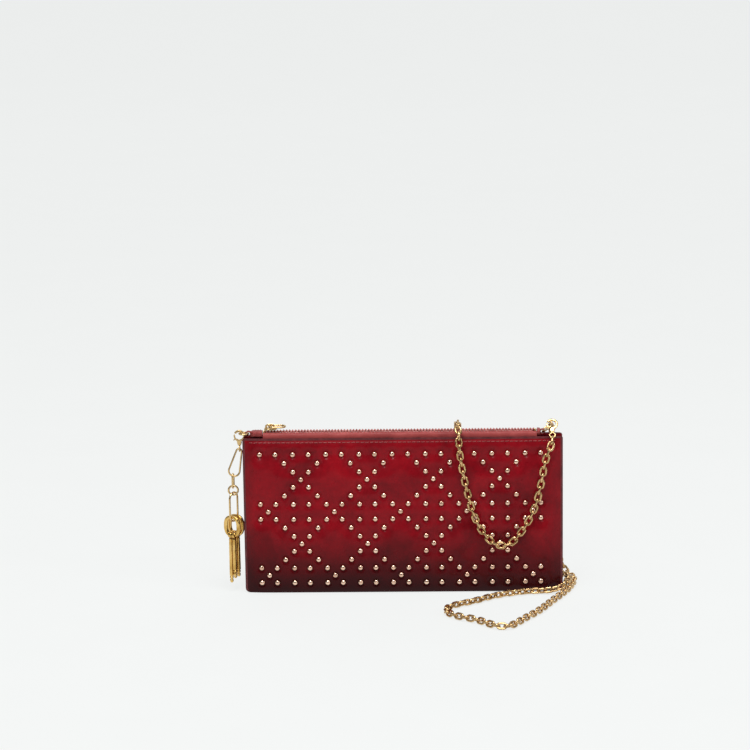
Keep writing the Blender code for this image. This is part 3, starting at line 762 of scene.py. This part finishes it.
def make_studs():
    """Domed rivet heads with a narrow flange, seated in the leather's dimples."""
    parts = []
    profile = ((1.2, -1.0), (1.82, -0.55), (1.82, 0.05), (1.70, 0.42), (1.42, 0.84), (1.02, 1.12),
               (0.55, 1.27), (0.18, 1.32))
    segments = 14
    for x, z in STUDS:
        place, facing = dome_frame(float(x), float(z))
        if facing.y > 0:
            facing = -facing
        turn = Vector((0, 0, 1)).rotation_difference(facing).to_matrix()
        verts = []
        for radius, height in profile:
            for k in range(segments):
                angle = math.tau * k / segments
                local = Vector((radius * math.cos(angle), radius * math.sin(angle), height))
                verts.append(place + turn @ local)
        parts.append((verts, solid_faces(len(profile), segments)))
    studs = new_object("dome_studs", *joined(*parts), [STUD_METAL], angle=50)
    finish_piece(studs, "purse_front", "stud_metal", "studs")


STITCH_DEPTH = 2.9
STITCH_LEFT = -100.5
STITCH_PITCH = 3.05
STITCH_COUNT = 66


def make_stitches():
    """One row of thread under the front's top edge."""
    parts = []
    z = HEIGHT - STITCH_DEPTH
    for k in range(STITCH_COUNT):
        x = STITCH_LEFT + STITCH_PITCH * k
        spot = (np.array([x + 1.1]), np.array([z]))
        y = float((belly(FRONT_PROFILE, *spot) - puff(*spot))[0])
        path = [Vector((x + 2.3 * t, y - 0.22 * math.sin(math.pi * t) + 0.04, z + 0.1 * (t - 0.5)))
                for t in (0.0, 0.15, 0.4, 0.6, 0.85, 1.0)]
        parts.append(swept(path, section(0.24, 0.24, 6)))
    stitches = new_object("top_edge_stitches", *joined(*parts), [THREAD])
    finish_piece(stitches, "purse_front", "leather")


def make_bottom():
    """A rounded strip between the two panels' feet."""
    rows = 15
    columns = 80
    verts = []
    for low in (0.0, 0.85):
        for j in range(rows):
            v = -1 + 2 * j / (rows - 1)
            for i in range(columns):
                u = -1 + 2 * i / (columns - 1)
                x = 101.0 * u
                ends = math.sqrt(max(0.0, 1 - abs(u) ** 14))
                y = -0.3 + 4.9 * v * (0.62 + 0.38 * ends)
                lift = 0.42 * abs(v) ** 4
                verts.append((x, y, low + lift * (1 - 0.5 * (low > 0)) + 0.02 * math.sin(x / 9)))
    bottom = new_object("rounded_bottom", verts, sheet_faces(columns, rows), [BACK_LEATHER], angle=60)
    finish_piece(bottom, "purse_back", "leather", "bottom_panel")


def make_body():
    front = leather_panel("quilted_front", FRONT_PROFILE, LEATHER, True, 281, 0.8, 1.6)
    finish_piece(front, "purse_front", "leather", "front_panel")
    back = leather_panel("plain_back", BACK_PROFILE, BACK_LEATHER, False, 141, 1.6, 1.25)
    finish_piece(back, "purse_back", "leather", "back_panel")
    make_studs()
    make_stitches()
    make_bottom()


make_body()


def soft_sheet(name, low, high, y, waves, thick, material):
    """A thin hung sheet with a slow wave in it, in X and Z at about a depth y."""
    columns = 61
    rows = 31
    verts = []
    for side in (0, 1):
        for j in range(rows):
            for i in range(columns):
                u = i / (columns - 1)
                v = j / (rows - 1)
                x = low[0] + (high[0] - low[0]) * u
                z = low[1] + (high[1] - low[1]) * v
                ripple = waves * math.sin(u * 9.4 + 0.7) * math.sin(v * 3.6 + 0.4)
                verts.append((x, y + ripple + side * thick, z))
    return new_object(name, verts, sheet_faces(columns, rows), [material], angle=50)


def make_inside():
    back = soft_sheet("back_lining_cloth", (-94, 5), (94, 96.5), 5.35, 0.12, 0.4, LINING)
    finish_piece(back, "purse_back", "lining", "back_lining")
    front = soft_sheet("front_lining_cloth", (-94, 5), (94, 96.5), -4.2, 0.12, 0.4, LINING)
    finish_piece(front, "purse_front", "lining", "front_lining")
    pocket = soft_sheet("card_pocket_cloth", (-55, 8), (55, 70), 4.25, 0.14, 0.45, LINING)
    finish_piece(pocket, "purse_back", "lining", "card_pocket")
    pad = soft_sheet("front_foam", (-92, 6), (92, 93), -5.5, 0.08, 0.85, FELT)
    finish_piece(pad, "purse_front", "padding", "front_padding")


make_inside()


def make_gussets():
    """A pleat of leather at each side, folded inwards between the two halves."""
    for word, side in (("left", -1), ("right", 1)):
        fold = []
        for i in range(25):
            t = -1 + 2 * i / 24
            depth = 103.9 - 5.6 * (1 - abs(t)) ** 0.75
            fold.append((side * depth, 4.1 * t))
        verts = []
        heights = [2.0 + 100.0 * j / 24 for j in range(25)]
        for layer in (0.0, 0.75):
            for z in heights:
                open_up = 1 - 0.12 * ease((z - 70) / 32)
                for x, y in fold:
                    verts.append((x - side * layer, y * open_up, z))
        faces = sheet_faces(len(fold), len(heights))
        gusset = new_object("side_pleat_" + word, verts, faces, [BACK_LEATHER], angle=50)
        blend_piece(gusset, (0, 4.1, 60), (0, -4.1, 60), "edge", "gusset_" + word)


make_gussets()

# ---------------------------------------------------------------- zip

TAPE_LEFT = -91.5
TAPE_RIGHT = 88.0
TEETH_LEFT = -89.5
TEETH_COUNT = 88
TOOTH_PITCH = 2.0


def make_tape(name, side, body, node):
    """Half of the zip's band: leather that rolls from inside the panel up to the teeth."""
    outer = [(4.85, 97.6), (4.88, 100.0), (4.9, 103.0), (4.88, 105.2), (4.72, 106.4), (4.3, 107.25),
             (3.7, 107.75), (3.0, 107.95), (2.45, 107.85)]
    inner = [(2.35, 107.2), (3.0, 107.15), (3.55, 106.9), (3.95, 106.3), (4.05, 105.2), (4.08, 103.0),
             (4.08, 100.0), (4.05, 97.6)]
    outline = outer + inner
    stations = 91
    verts = []
    for i in range(stations):
        x = TAPE_LEFT + (TAPE_RIGHT - TAPE_LEFT) * i / (stations - 1)
        wave = 0.07 * math.sin(x / 5.3 + side) + 0.05 * math.sin(x / 2.1)
        for y, z in outline:
            high = ease((z - 104) / 3)
            verts.append((x, side * (y + wave * high * 0.6), z + wave * high))
    tape = new_object(name, verts, solid_faces(stations, len(outline)), [CORAL], angle=60)
    finish_piece(tape, body, "zip_leather", node)


def make_teeth(name, side, shift, body, node):
    """A row of coil loops on the cord that they are sewn round."""
    parts = []
    for k in range(TEETH_COUNT):
        x = TEETH_LEFT + shift + k * TOOTH_PITCH + 0.45
        parts.append(ball((x, side * 1.4, 108.25), (0.68, 1.05, 0.95), 7, 10))
    core = [Vector((TEETH_LEFT + shift - 0.2 + 1.0 * i, side * 1.9, 107.75)) for i in range(176)]
    parts.append(swept(core, section(0.42, 0.42, 8)))
    finish_piece(new_object(name, *joined(*parts), [COIL]), body, "zip_teeth", node)


def rounded_block(name, low, high, material, width):
    """A small block with well rounded edges."""
    outline = [(low[0], low[2]), (high[0], low[2]), (high[0], high[2]), (low[0], high[2])]
    thing = new_object(name, *extruded(outline, low[1], high[1]), [material])
    bevel(thing, width, 3)
    thing.data.shade_smooth()
    return thing


def make_zip():
    make_tape("zip_band_front", -1, "purse_front", "front_tape")
    make_tape("zip_band_back", 1, "purse_back", "back_tape")
    make_teeth("coil_front", -1, 0.0, "purse_front", "front_teeth")
    make_teeth("coil_back", 1, TOOTH_PITCH / 2, "purse_back", "back_teeth")
    for node, body in (("zip_stop_back", "purse_back"), ("zip_stop_front", "purse_front"),
                       ("zip_stop_end", "purse_front")):
        low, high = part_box(node)
        stop = rounded_block(node + "_cap", low / MM, high / MM, BRASS, 0.32)
        finish_piece(stop, body, "brass", node)


make_zip()

SLIDER_X = -86.5
PLATE_LOW = 109.7
PLATE_HIGH = 110.7


def plate(outline, low, high, inset):
    """A slab with softened rims from an outline in X and Y."""
    verts = []
    layers = ((low, 1 - inset), (low + 0.18, 1.0), (high - 0.25, 1.0), (high - 0.06, 1 - inset * 0.6),
              (high, 1 - inset * 1.6))
    for z, grow in layers:
        verts += [Vector((SLIDER_X + x * grow, y * grow, z)) for x, y in outline]
    return verts, solid_faces(len(layers), len(outline))


def make_slider():
    top = []
    for k in range(40):
        angle = math.tau * k / 40
        c = math.cos(angle)
        s = math.sin(angle)
        narrow = 1 - 0.16 * max(0.0, c)
        top.append((4.2 * math.copysign(abs(c) ** 0.62, c), 3.3 * narrow * math.copysign(abs(s) ** 0.62, s)))
    low = [(x * 0.93 - 0.3, y * 0.5) for x, y in top]
    arch = [Vector((SLIDER_X - 3.0, 0, PLATE_HIGH - 0.2))]
    for k in range(15):
        angle = math.pi * (1 - k / 14)
        arch.append(Vector((SLIDER_X - 0.4 + 2.6 * math.cos(angle), 0,
                            PLATE_HIGH + 0.75 + 1.45 * abs(math.sin(angle)) ** 0.7)))
    arch.append(Vector((SLIDER_X + 2.2, 0, PLATE_HIGH - 0.2)))
    post = extruded([(SLIDER_X - 3.8, 105.4), (SLIDER_X - 3.0, 105.4), (SLIDER_X - 3.0, 110.0),
                     (SLIDER_X - 3.8, 110.0)], -0.28, 0.28)
    parts = [plate(top, PLATE_LOW, PLATE_HIGH, 0.05), plate(low, 105.0, 105.9, 0.05),
             swept(arch, section(0.62, 0.36, 12, 0.8)), post]
    slider = new_object("slider_body", *joined(*parts), [BRASS], angle=40)
    finish_piece(slider, "slider", "brass", "zip_slider")
    pull_x = SLIDER_X - 1.0
    pull_z = PLATE_HIGH + 0.95
    pull = wire_loop("oval_puller", oval(6.2, 10.6, 40), section(0.62, 0.58, 12, 0.9), BRASS,
                     (pull_x + 5.3, 0, pull_z), (math.pi / 2, 0, math.pi / 2))
    finish_piece(pull, "puller", "brass", "zip_pull")


make_slider()

# ---------------------------------------------------------------- tabs, rings and clasps

RING_Z = 107.0
RING_WIRE = 0.6
LEFT_LOOP_X = -101.2
LEFT_RING = 3.0
RIGHT_LOOP_X = 91.8
RIGHT_RING = 4.0
RIGHT_TILT = math.radians(38)
CLAW_IN = 2.5
CLAW_OUT = 3.9
CLAW_DROP = 1.45
CLASP_EYE = 10.05
EYE_MAJOR = 1.8
EYE_WIRE = 0.55
CLASP_LEAN = math.radians(-46)


def make_tab(name, node, loop_x, inner_x, ribs):
    """A strip of leather folded round the ring's wire, pressed and stitched flat behind it."""
    side = math.copysign(1, loop_x)
    nose_x = loop_x - side * 1.3
    stations = []
    steps = 22
    for i in range(steps + 1):
        t = i / steps
        x = inner_x + (nose_x - inner_x) * t
        taper = ease((t - 0.75) / 0.25)
        half = 3.75 - 2.2 * taper
        tall = 1.95 - 0.3 * taper
        if ribs:
            tall += 0.09 * math.cos(t * math.tau * 5)
        tall *= 0.88 + 0.12 * ease(t * 8)
        stations.append((x, half, tall))
    verts = []
    sides = 24
    for x, half, tall in stations:
        for u, v in section(half, tall, sides, 0.42):
            verts.append(Vector((x, u, 106.95 + v)))
    strip = (verts, solid_faces(len(stations), sides))
    loop_verts, loop_faces = loop_mesh(circle(1.5, 28), section(0.36, 1.4, 12, 0.5))
    loop = ([v + Vector((loop_x, 0, RING_Z)) for v in loop_verts], loop_faces)
    tab = new_object(name, *joined(strip, loop), [CORAL], angle=70)
    finish_piece(tab, "purse_front", "zip_leather", node)
    rows = []
    spots = (0.16, 0.36, 0.56) if ribs else (0.2, 0.6)
    for spot in spots:
        x = inner_x + (nose_x - inner_x) * spot
        for k in range(5):
            y = -2.9 + 1.25 * k
            rows.append(swept([Vector((x, y + 0.85 * t, 108.82 + 0.12 * math.sin(math.pi * t)))
                               for t in (0, 0.3, 0.7, 1)], section(0.17, 0.17, 6)))
        rows.append(swept([Vector((x, -3.82 - 0.1 * math.sin(math.pi * t), 106.2 + 1.5 * t))
                           for t in (0, 0.3, 0.7, 1)], section(0.17, 0.17, 6)))
    stitches = new_object(name + "_stitches", *joined(*rows), [THREAD])
    finish_piece(stitches, "purse_front", "zip_leather")


def clasp_outline():
    """The claw and body of a lobster clasp, with the gap that its gate closes."""
    fine = 30
    gap_low = math.radians(-48)
    gap_high = math.radians(30)
    foot = math.radians(-66)
    neck = math.radians(250)
    middle = -CLAW_DROP
    outline = []
    for i in range(fine + 1):
        angle = gap_high + (neck - gap_high) * i / fine
        outline.append((CLAW_OUT * math.cos(angle), middle + CLAW_OUT * math.sin(angle)))
    outline += [(-1.5, -CLASP_EYE + 3.8), (-1.1, -CLASP_EYE + 2.5), (-0.85, -CLASP_EYE + 2.1),
                (0.85, -CLASP_EYE + 2.1), (1.1, -CLASP_EYE + 2.5), (1.5, -CLASP_EYE + 3.8)]
    for i in range(4):
        angle = foot + (gap_low - foot) * i / 3
        outline.append((CLAW_OUT * math.cos(angle), middle + CLAW_OUT * math.sin(angle)))
    for i in range(fine + 1):
        angle = gap_low + math.tau - (math.tau + gap_low - gap_high) * i / fine
        outline.append((CLAW_IN * math.cos(angle), middle + CLAW_IN * math.sin(angle)))
    return outline


def gate_pin():
    angle = math.radians(-44)
    return (3.2 * math.cos(angle), -CLAW_DROP + 3.2 * math.sin(angle))


def gate_outline():
    corners = [(4.9, -42.5), (4.95, -36), (3.95, -31), (3.72, -27)]
    corners += [(3.72, -27 + 40 * k / 10) for k in range(1, 11)]
    corners += [(3.5, 14), (3.0, 14)]
    corners += [(2.78, 13 - 54 * k / 12) for k in range(13)]
    return [(radius * math.cos(math.radians(d)), -CLAW_DROP + radius * math.sin(math.radians(d)))
            for radius, d in corners]


def make_clasp(name, node, place, lean, body, gate_body, eye_turn):
    turn = (lean, 0, 0)
    verts, faces = extruded([(-x, z) for x, z in clasp_outline()], -0.72, 0.72)
    claw = new_object(name, placed(verts, place, turn), faces, [BRASS])
    bevel(claw, 0.42, 3, 50)
    eye_verts, eye_faces = loop_mesh(circle(EYE_MAJOR, 28), section(EYE_WIRE - 0.06, EYE_WIRE - 0.06, 12))
    down = Vector((0, 0, -CLASP_EYE))
    down.rotate(Euler(turn))
    eye = new_object(name + "_eye", placed(eye_verts, Vector(place) + down, eye_turn), eye_faces, [BRASS])
    pin_x, pin_z = gate_pin()
    pin_verts, pin_faces = extruded([(pin_x + u, pin_z + v) for u, v in circle(0.42, 12)], -0.9, 0.9)
    pin = new_object(name + "_pin", placed([Vector((-v.x, v.y, v.z)) for v in pin_verts], place, turn),
                     pin_faces, [BRASS])
    bevel(pin, 0.15, 2)
    join([claw, eye, pin])
    claw.data.shade_smooth()
    claw.data.set_sharp_from_angle(angle=math.radians(55))
    finish_piece(claw, body, "brass", node)
    verts, faces = extruded([(-x, z) for x, z in gate_outline()], -0.62, 0.62)
    gate = new_object(name + "_lever", placed(verts, place, turn), faces, [BRASS])
    bevel(gate, 0.26, 3, 50)
    gate.data.shade_smooth()
    finish_piece(gate, gate_body, "brass", node + "_gate")


def join(things):
    """Puts several meshes into the first one."""
    verts = []
    faces = []
    for thing in things:
        start = len(verts)
        verts += [tuple(thing.matrix_world @ v.co) for v in thing.data.vertices]
        faces += [tuple(start + i for i in p.vertices) for p in thing.data.polygons]
    mesh = bpy.data.meshes.new(things[0].name)
    mesh.from_pydata(verts, [], faces)
    mesh.materials.append(things[0].data.materials[0])
    things[0].data = mesh
    for thing in things[1:]:
        bpy.data.objects.remove(thing)


def make_ends():
    make_tab("folded_tab_left", "tab_left", LEFT_LOOP_X, -92.0, True)
    make_tab("folded_tab_right", "tab_right", RIGHT_LOOP_X, 88.2, False)
    flat = math.pi / 2
    brass_wire("split_ring_left", circle(LEFT_RING, 40), RING_WIRE,
               (LEFT_LOOP_X - LEFT_RING, 0, RING_Z), (flat, 0, 0), "left_ring", "ring_left")
    hook = (LEFT_LOOP_X - 2 * LEFT_RING, 0, RING_Z)
    make_clasp("charm_hook_claw", "charm_clasp", hook, 0.0, "charm_hook", "charm_hook_gate", (0, 0, flat))
    out = Vector((math.cos(RIGHT_TILT), 0, math.sin(RIGHT_TILT)))
    home = Vector((RIGHT_LOOP_X, 0, RING_Z))
    brass_wire("split_ring_right", circle(RIGHT_RING, 44), RING_WIRE,
               home + out * RIGHT_RING, (flat, -RIGHT_TILT, 0), "right_ring", "ring_right")
    up = Vector((0, 0, CLAW_DROP - 0.2))
    up.rotate(Euler((CLASP_LEAN, 0, 0)))
    make_clasp("strap_hook_claw", "strap_clasp", home + out * 2 * RIGHT_RING + up, CLASP_LEAN, "strap_hook",
               "strap_hook_gate", (CLASP_LEAN, 0, 0))


make_ends()

# ---------------------------------------------------------------- charms

CHARM_X = -112.0
WIRE = 0.65
PEAR_WIRE = 0.59
SMALL_WIRE = 0.55
CHARM_TURN = math.radians(-30)
RING_THICK = 1.1
RING_SPACING = 4.3
LONG_TURN = math.radians(58)


def pear(top_radius, low_radius, tall, count):
    """A pear-shaped link's centre line, from its top at Z = 0 down."""
    slope = math.asin((low_radius - top_radius) / (tall - top_radius - low_radius))
    points = []
    for radius, middle, first, last in ((top_radius, -top_radius, slope, math.pi - slope),
                                        (low_radius, low_radius - tall, math.pi - slope, math.tau + slope)):
        for i in range(count):
            angle = first + (last - first) * i / (count - 1)
            points.append((radius * math.cos(angle), middle + radius * math.sin(angle)))
    return points


def make_bar(name, node, body, length, place, turn):
    """A slim pendant: an eye, a tapered shank with two collars, and a round end."""
    eye_verts, eye_faces = loop_mesh(circle(1.72, 28), section(0.3, 1.12, 12, 0.6))
    eye = ([Vector((v.y, v.x, v.z)) for v in eye_verts], eye_faces)
    stations = ((-1.75, 0.85, 0.95), (-2.5, 1.05, 1.15), (-3.4, 1.2, 1.3), (-4.2, 1.02, 1.08),
                (-5.0, 1.12, 1.25), (-0.55 * length, 1.18, 1.3), (-length + 6.2, 1.22, 1.34),
                (-length + 5.3, 1.22, 1.34),
                (-length + 4.6, 0.9, 0.98), (-length + 3.9, 1.22, 1.3), (-length + 3.1, 0.88, 0.95))
    verts = []
    sides = 16
    for z, half_x, half_y in stations:
        verts += [Vector((u, v, z)) for u, v in section(half_x, half_y, sides, 0.7)]
    shank = (verts, solid_faces(len(stations), sides))
    end = ball((0, 0, -length + 1.75), (1.22, 1.25, 1.65), 10, 16)
    verts, faces = joined(eye, shank, end)
    thing = new_object(name, placed(verts, place, turn), faces, [CHARM_GOLD], angle=48)
    finish_piece(thing, body, "brass", node)


def make_charms():
    wire_x = LEFT_LOOP_X - 2 * LEFT_RING
    eye_low = RING_Z - CLASP_EYE - EYE_MAJOR
    pear_top = eye_low + EYE_WIRE + WIRE + 0.3
    pear_tall = 19.0
    lean = math.asin((wire_x - CHARM_X) / pear_tall)
    brass_wire("pear_link_wire", pear(1.8, 3.6, pear_tall, 22), PEAR_WIRE,
               (wire_x, 0, pear_top), (0, lean, 0), "pear_link", "charm_loop")
    pear_low = pear_top - pear_tall * math.cos(lean)
    small_top = pear_low + SMALL_WIRE + WIRE + 0.3
    brass_wire("small_link_wire", oval(4.2, 9.5, 32), SMALL_WIRE,
               (CHARM_X, 0, small_top - 4.75), (0, 0, math.radians(80)), "small_link", "charm_link_small")
    round_top = small_top - 9.5 + SMALL_WIRE + WIRE + 0.3
    brass_wire("round_link_wire", circle(3.1, 36), WIRE,
               (CHARM_X, 0, round_top - 3.1), (0, 0, math.radians(5)), "round_link", "charm_link_round")
    long_top = round_top - 6.2 + 2 * WIRE + 0.3
    long_tall = 19.4
    brass_wire("long_link_wire", oval(8.6, long_tall, 44), WIRE,
               (CHARM_X, 0, long_top - long_tall / 2), (0, 0, LONG_TURN), "long_link", "charm_link_long")
    long_low = long_top - long_tall
    across = Vector((math.cos(LONG_TURN), math.sin(LONG_TURN), 0))
    along = Vector((math.cos(CHARM_TURN), math.sin(CHARM_TURN), 0))
    bars = {("front", -1): 33.0, ("front", 1): 28.5, ("back", -1): 31.0, ("back", 1): 29.5}
    for label, side in (("front", -1), ("back", 1)):
        home = Vector((CHARM_X, 0, 0)) + across * side * RING_SPACING / 2
        lift = 4.3 - math.sqrt(4.3 ** 2 - (RING_SPACING / 2) ** 2)
        top = long_low + lift + WIRE + RING_THICK + 0.55
        outline = section(5.0, 6.15, 48, 0.77)
        swell = [1 + 0.3 * abs(x) / 5.0 for x, z in outline]
        ring = wire_loop("thick_ring_" + label, outline, section(RING_THICK, RING_THICK, 20, 0.8),
                         CHARM_GOLD, (home.x, home.y, top - 6.15), (0, 0, CHARM_TURN), swell)
        finish_piece(ring, label + "_ring_charm", "brass", "charm_ring_" + label)
        low = top - 12.3
        for hand, word in ((-1, "left"), (1, "right")):
            spot = home + along * hand * 1.35
            make_bar("pendant_" + label + "_" + word, "charm_bar_" + label + "_" + word,
                     "bar_" + label + "_" + word, bars[(label, hand)], (spot.x, spot.y, low + 0.2),
                     (0, 0, CHARM_TURN))


make_charms()

# ---------------------------------------------------------------- floor, light

FLOOR_DROP = 0.0004


def make_stage():
    """A floor that curves up into a backdrop, as pale as the photograph's, in metres."""
    m = Nodes("pale_floor")
    m.colour(m.ramp(m.noise(14, 3), [(0.3, (0.095, 0.098, 0.097)), (0.7, (0.100, 0.103, 0.102))]))
    m.set(Roughness=0.95, Specular_IOR_Level=0.05)
    m.set(Emission_Color=(0.985, 1.0, 0.993, 1), Emission_Strength=0.79)
    verts = []
    rows = []
    for k in range(3):
        rows.append((-4.0 + 3.2 * k, 0.0))
    for k in range(1, 13):
        angle = math.pi / 2 * k / 12
        rows.append((2.4 + 1.4 * math.sin(angle), 1.4 * (1 - math.cos(angle))))
    rows.append((3.8, 6.0))
    for y, z in rows:
        verts += [(-6.0, y, z - FLOOR_DROP), (6.0, y, z - FLOOR_DROP)]
    faces = [(2 * i, 2 * i + 1, 2 * i + 3, 2 * i + 2) for i in range(len(rows) - 1)]
    mesh = bpy.data.meshes.new("studio_sweep")
    mesh.from_pydata(verts, [], faces)
    mesh.materials.append(m.material)
    mesh.shade_smooth()
    sweep = bpy.data.objects.new("studio_sweep", mesh)
    scene.collection.objects.link(sweep)


LIT_SPOT = Vector((0, 0, 0.05))


def area(name, place, size, power):
    data = bpy.data.lights.new(name, "AREA")
    data.shape = "RECTANGLE"
    data.size, data.size_y = size
    data.energy = power
    light = bpy.data.objects.new(name, data)
    light.location = place
    direction = LIT_SPOT - Vector(place)
    light.rotation_euler = direction.to_track_quat("-Z", "Y").to_euler()
    scene.collection.objects.link(light)


def make_light():
    world = bpy.data.worlds.new("studio")
    world.use_nodes = True
    background = world.node_tree.nodes["Background"]
    tree = world.node_tree
    where = tree.nodes.new("ShaderNodeTexCoord")
    height = tree.nodes.new("ShaderNodeSeparateXYZ")
    ramp = tree.nodes.new("ShaderNodeValToRGB")
    ramp.color_ramp.elements[0].position = 0.12
    ramp.color_ramp.elements[0].color = (0.06, 0.055, 0.055, 1)
    ramp.color_ramp.elements[1].position = 0.75
    ramp.color_ramp.elements[1].color = (0.97, 0.985, 0.98, 1)
    tree.links.new(where.outputs["Generated"], height.inputs[0])
    tree.links.new(height.outputs["Z"], ramp.inputs["Fac"])
    tree.links.new(ramp.outputs["Color"], background.inputs["Color"])
    background.inputs["Strength"].default_value = 0.5
    scene.world = world
    area("top_light", (0.0, -0.45, 1.4), (0.9, 0.5), 15)
    area("front_light", (-0.55, -1.8, 1.6), (0.5, 0.4), 9)
    area("right_light", (1.4, -0.7, 0.8), (0.4, 0.7), 5)


make_stage()
make_light()
scene.view_settings.view_transform = "Standard"
